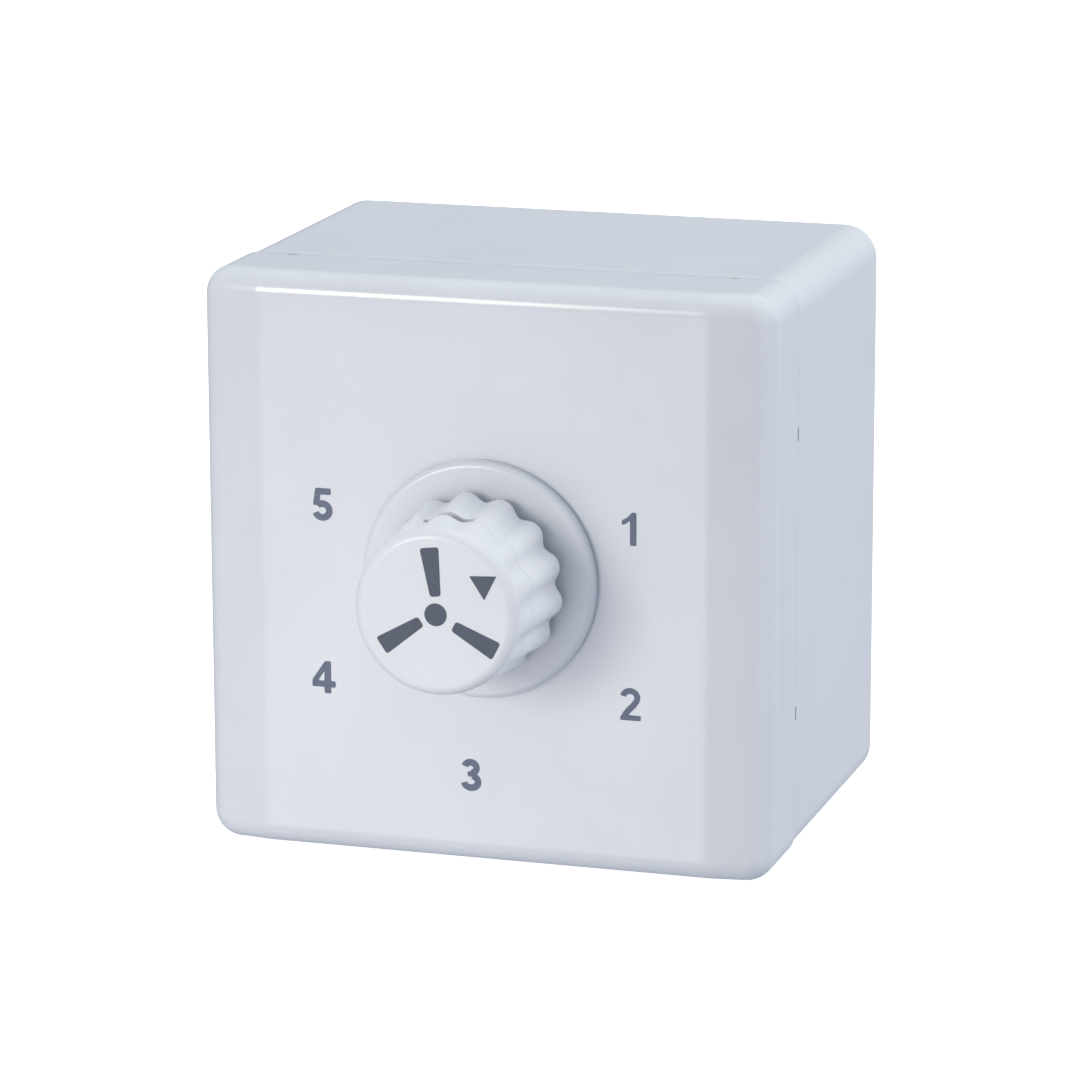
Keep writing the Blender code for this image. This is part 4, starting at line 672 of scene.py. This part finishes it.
def stroke(path, width):
    """The outline of a stroke of even width along a path."""
    left, right = [], []
    for i, (x, z) in enumerate(path):
        before = path[max(i - 1, 0)]
        after = path[min(i + 1, len(path) - 1)]
        run = Vector((after[0] - before[0], after[1] - before[1])).normalized()
        left.append((x - run.y * width / 2, z + run.x * width / 2))
        right.append((x + run.y * width / 2, z - run.x * width / 2))
    return left + right[::-1]


def arc(centre, radius, start, end, steps=20, squash=1.0):
    """Points on an arc, in degrees clockwise from the top."""
    turns = [math.radians(start + (end - start) * i / steps) for i in range(steps + 1)]
    return [(centre[0] + radius * math.sin(t) * squash, centre[1] + radius * math.cos(t)) for t in turns]


BAR = 0.21


def softened(outline, radius):
    """The outline with its corners rounded."""
    made = []
    for i, corner_at in enumerate(outline):
        here = Vector(corner_at)
        before = Vector(outline[i - 1]) - here
        after = Vector(outline[(i + 1) % len(outline)]) - here
        if before.length < 1e-9 or after.length < 1e-9 or before.angle(after) > math.radians(150):
            made.append(corner_at)
            continue
        first = here + before.normalized() * min(radius, 0.45 * before.length)
        last = here + after.normalized() * min(radius, 0.45 * after.length)
        for k in range(5):
            t = k / 4
            point = first * (1 - t) ** 2 + here * 2 * t * (1 - t) + last * t**2
            made.append((point.x, point.y))
    return made


def digit_shapes(digit):
    """(outlines, holes) of a bold upright figure, one unit tall, from its lower left corner."""
    if digit == 1:
        return [[
            (0.25, 0.0), (0.45, 0.0), (0.45, 1.0), (0.30, 1.0), (0.25, 0.93), (0.15, 0.83), (0.0, 0.755),
            (0.0, 0.60), (0.12, 0.645), (0.25, 0.75),
        ]], []
    if digit == 2:
        bowl = arc((0.315, 0.70), 0.205, -80.0, 118.0, 24, 1.07)
        sweep = bowl + [(0.42, 0.47), (0.26, 0.31), (0.13, 0.13)]
        return [stroke(sweep, 0.185), [(0.0, 0.0), (0.645, 0.0), (0.645, 0.165), (0.03, 0.165)]], []
    if digit == 3:
        upper = arc((0.315, 0.73), 0.165, -78.0, 172.0, 22, 1.12)
        lower = arc((0.325, 0.29), 0.185, 8.0, 260.0, 26, 1.2)
        middle = [(0.22, 0.445), (0.36, 0.445), (0.36, 0.615), (0.22, 0.615)]
        return [stroke(upper, BAR), stroke(lower, BAR), middle], []
    if digit == 4:
        return [[
            (0.385, 0.0), (0.60, 0.0), (0.60, 0.19), (0.745, 0.19), (0.745, 0.385), (0.60, 0.385),
            (0.60, 1.0), (0.41, 1.0), (0.0, 0.40), (0.0, 0.19), (0.385, 0.19),
        ]], [[(0.385, 0.385), (0.385, 0.68), (0.195, 0.385)]]
    bowl = arc((0.325, 0.315), 0.212, -44.0, 252.0, 28, 1.04)
    stem = [(0.105, 1.0), (0.30, 1.0), (0.25, 0.66), (0.235, 0.46), (0.03, 0.47)]
    bar = [(0.105, 0.80), (0.60, 0.80), (0.60, 1.0), (0.105, 1.0)]
    return [stroke(bowl, BAR), stem, bar], []


DIGIT_HEIGHT = 4.86 * MM
DIGIT_PLACES = {1: (22.1, 8.73), 2: (22.33, -17.08), 3: (-1.76, -29.66), 4: (-24.26, -16.65), 5: (-24.14, 9.22)}
PRINT_ANGLE = -3.2  # the fan mark is printed a little short of the knob's set position
FAN_CENTRE = (0.18 * MM, -0.17 * MM)
FAN_HUB = 1.65 * MM
BLADES = ((-1.2, 6.35, -3.0), (1.3, 6.75, -0.7), (2.0, 6.2, -2.8))  # lean, distance out in mm, twist
BLADE_OUTLINE = ((-3.75, 0.79), (3.3, 1.41), (3.3, -1.41), (-3.75, -0.79))  # mm along, mm across
POINTER_OUT = 8.62 * MM
POINTER_SIZE = 2.32 * MM


def numbers():
    for digit, (x, z) in DIGIT_PLACES.items():
        outlines, holes = digit_shapes(digit)
        every = [point for outline in outlines for point in outline]
        middle = (min(p[0] for p in every) + max(p[0] for p in every)) / 2

        def placed(outline):
            return [((a - middle) * DIGIT_HEIGHT, (b - 0.5) * DIGIT_HEIGHT) for a, b in softened(outline, 0.05)]

        at = (x * MM, z * MM)
        shapes = [placed(outline) for outline in outlines]
        gaps = [placed(hole) for hole in holes]
        plate_of_ink(f"number_{digit}", shapes, gaps, FACE_Y, "controller", at, "ink_plate")


def knob_print():
    """The fan of three blades around a hub, and the pointer beside it."""
    plate_of_ink("fan_hub", [round_outline(FAN_HUB, 48)], [], KNOB_FRONT_Y, "control", FAN_CENTRE)
    for i, (lean, reach, twist) in enumerate(BLADES):
        swing = math.radians(PRINT_ANGLE + lean + 120.0 * i)
        middle = Vector((math.sin(swing), math.cos(swing))) * reach * MM
        turn = swing + math.radians(twist)
        out = Vector((math.sin(turn), math.cos(turn)))
        across = Vector((math.cos(turn), -math.sin(turn)))
        blade = [middle + out * along * MM + across * half * MM for along, half in BLADE_OUTLINE]
        outline = softened([(point.x, point.y) for point in blade], 0.45 * MM)
        plate_of_ink(f"fan_blade_{i + 1}", [outline], [], KNOB_FRONT_Y, "control", FAN_CENTRE)
    turn = math.radians(KNOB_ANGLE + PRINT_ANGLE)
    tips = [turn + math.tau * k / 3 for k in range(3)]
    pointer = [(POINTER_SIZE * math.sin(t), POINTER_SIZE * math.cos(t)) for t in tips]
    at = (POINTER_OUT * math.sin(turn), POINTER_OUT * math.cos(turn))
    plate_of_ink("pointer", [softened(pointer, 0.18 * MM)], [], KNOB_FRONT_Y, "control", at)


# ---------------------------------------------------------------- inner pieces keep their CAD shape
INNER = {
    "zinc": [
        "mounting_frame", "frame_screw_left", "frame_screw_right", "choke_bracket_top", "choke_bracket_bottom",
        "bracket_rivet_top", "bracket_rivet_bottom", "core_bolt_left_bottom", "core_bolt_left_top",
        "core_bolt_right_bottom", "core_bolt_right_top", "lock_washer", "clamp_screw_fan_inner",
        "clamp_screw_fan_outer", "clamp_screw_live_inner", "clamp_screw_live_outer", "block_screw",
    ],
    "steel": ["control_shaft", "detent_ball"],
    "brass": [
        "brass_insert_left", "brass_insert_right", "bush_nut", "threaded_bush", "clamp_fan", "clamp_live",
        "common_contact", "speed_contact_1", "speed_contact_2", "speed_contact_3", "speed_contact_4",
        "speed_contact_5", "switch_rivet_left", "switch_rivet_right", "earth_screw",
    ],
    "bronze": ["detent_spring", "knob_clip", "wiper"],
    "core": ["core_e_stack", "core_i_stack"],
    "copper": ["winding"],
    "tape": ["coil_tape"],
    "nylon": ["bobbin", "index_wheel", "switch_rotor", "terminal_block"],
    "phenolic": ["switch_cover", "switch_base"],
    "rubber": ["cable_grommet"],
    "lead": ["tap_lead_1", "tap_lead_2", "tap_lead_3", "tap_lead_4", "tap_lead_5", "common_lead"],
    "lead_blue": ["winding_end_lead"],
}


def dress_inner():
    for look, names in INNER.items():
        for name in names:
            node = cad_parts[name]
            node.data.materials.clear()
            node.data.materials.append(looks[look])
            node.data.shade_smooth()
            node.data.set_sharp_from_angle(angle=math.radians(35))


# ---------------------------------------------------------------- stage, light and camera
WORLD_COLOUR = (0.775, 0.85, 1.0, 1.0)
WORLD_STRENGTH = 0.55
LIT_POINT = (0.0, -0.04, 0.0)
AZIMUTH, ELEVATION, ROLL = math.radians(17.31), math.radians(13.62), math.radians(-0.15)
CAMERA_DISTANCE = 727.42 * MM
CAMERA_TARGET = Vector((8.82 * MM, FACE_Y, 6.21 * MM))
SENSOR_MM = 36.0
LENS_MM = 169.475


def stage():
    bm = bmesh.new()
    bmesh.ops.create_grid(bm, x_segments=1, y_segments=1, size=3.0)
    mesh = bpy.data.meshes.new("floor")
    bm.to_mesh(mesh)
    bm.free()
    floor = bpy.data.objects.new("floor", mesh)
    floor.location = (0.0, 0.0, -HEIGHT / 2 - 0.05 * MM)
    bpy.context.scene.collection.objects.link(floor)
    look = Nodes("floor_paint")
    look.set(Base_Color=look.ramp(look.noise(2.0), [(0.3, (0.90, 0.90, 0.90)), (0.7, (0.92, 0.92, 0.92))]))
    look.set(Roughness=0.9, Specular_IOR_Level=0.1)
    look.set(Emission_Color=(1.0, 1.0, 1.0, 1.0), Emission_Strength=0.70)
    look.material.cycles.emission_sampling = "NONE"
    mesh.materials.append(look.material)
    floor.visible_diffuse = False
    floor.visible_glossy = False


def soft_light(name, place, aim, size, power, colour):
    """A rectangular light, (width, height) in size, that faces the aim."""
    lamp = bpy.data.lights.new(name, "AREA")
    lamp.shape = "RECTANGLE"
    lamp.size, lamp.size_y = size
    lamp.energy = power
    lamp.color = colour
    made = bpy.data.objects.new(name, lamp)
    made.location = place
    made.rotation_euler = (Vector(aim) - Vector(place)).to_track_quat("-Z", "Y").to_euler()
    bpy.context.scene.collection.objects.link(made)
    return made


def light():
    world = bpy.data.worlds.new("studio")
    bpy.context.scene.world = world
    world.use_nodes = True
    back = world.node_tree.nodes["Background"]
    back.inputs["Color"].default_value = WORLD_COLOUR
    back.inputs["Strength"].default_value = WORLD_STRENGTH
    soft_light("key", (-0.413, -0.947, 0.208), LIT_POINT, (0.3, 0.3), 3.6, (1.0, 0.93, 0.81))
    soft_light("edge", (-0.22, -0.75, 0.62), LIT_POINT, (0.16, 0.08), 0.055, (1.0, 0.99, 0.97))
    overhead = soft_light("overhead", (-0.1, 0.15, 1.2), LIT_POINT, (0.9, 0.9), 7.0, (1.0, 1.0, 0.88))
    right = soft_light("right", (1.10, 0.16, 0.40), LIT_POINT, (0.45, 0.45), 8.3, (1.0, 0.97, 0.90))
    overhead.visible_glossy = right.visible_glossy = False
    card_at = Vector((-0.038, -0.182, -0.036))
    card_aim = Vector((card_at.x, 0.0, card_at.z))
    card = soft_light("card", card_at, card_aim, (0.110, 0.120), 0.055, (1.0, 0.94, 0.86))
    card.visible_camera = False


def camera():
    data = bpy.data.cameras.new("camera")
    made = bpy.data.objects.new("camera", data)
    bpy.context.scene.collection.objects.link(made)
    back = Vector((
        math.sin(AZIMUTH) * math.cos(ELEVATION),
        -math.cos(AZIMUTH) * math.cos(ELEVATION),
        math.sin(ELEVATION),
    ))
    made.location = CAMERA_TARGET + back * CAMERA_DISTANCE
    turn = (-back).to_track_quat("-Z", "Y").to_matrix() @ Matrix.Rotation(ROLL, 3, "Z")
    made.rotation_euler = turn.to_euler()
    data.sensor_width = SENSOR_MM
    data.lens = LENS_MM
    data.clip_start = 0.01
    data.clip_end = 20.0
    bpy.context.scene.camera = made


def main():
    view = bpy.context.scene.view_settings
    view.view_transform = "Standard"
    view.look = "None"
    surface_box()
    front_cover()
    dial()
    knob_body()
    knob_cap()
    numbers()
    knob_print()
    dress_inner()
    stage()
    light()
    camera()


main()
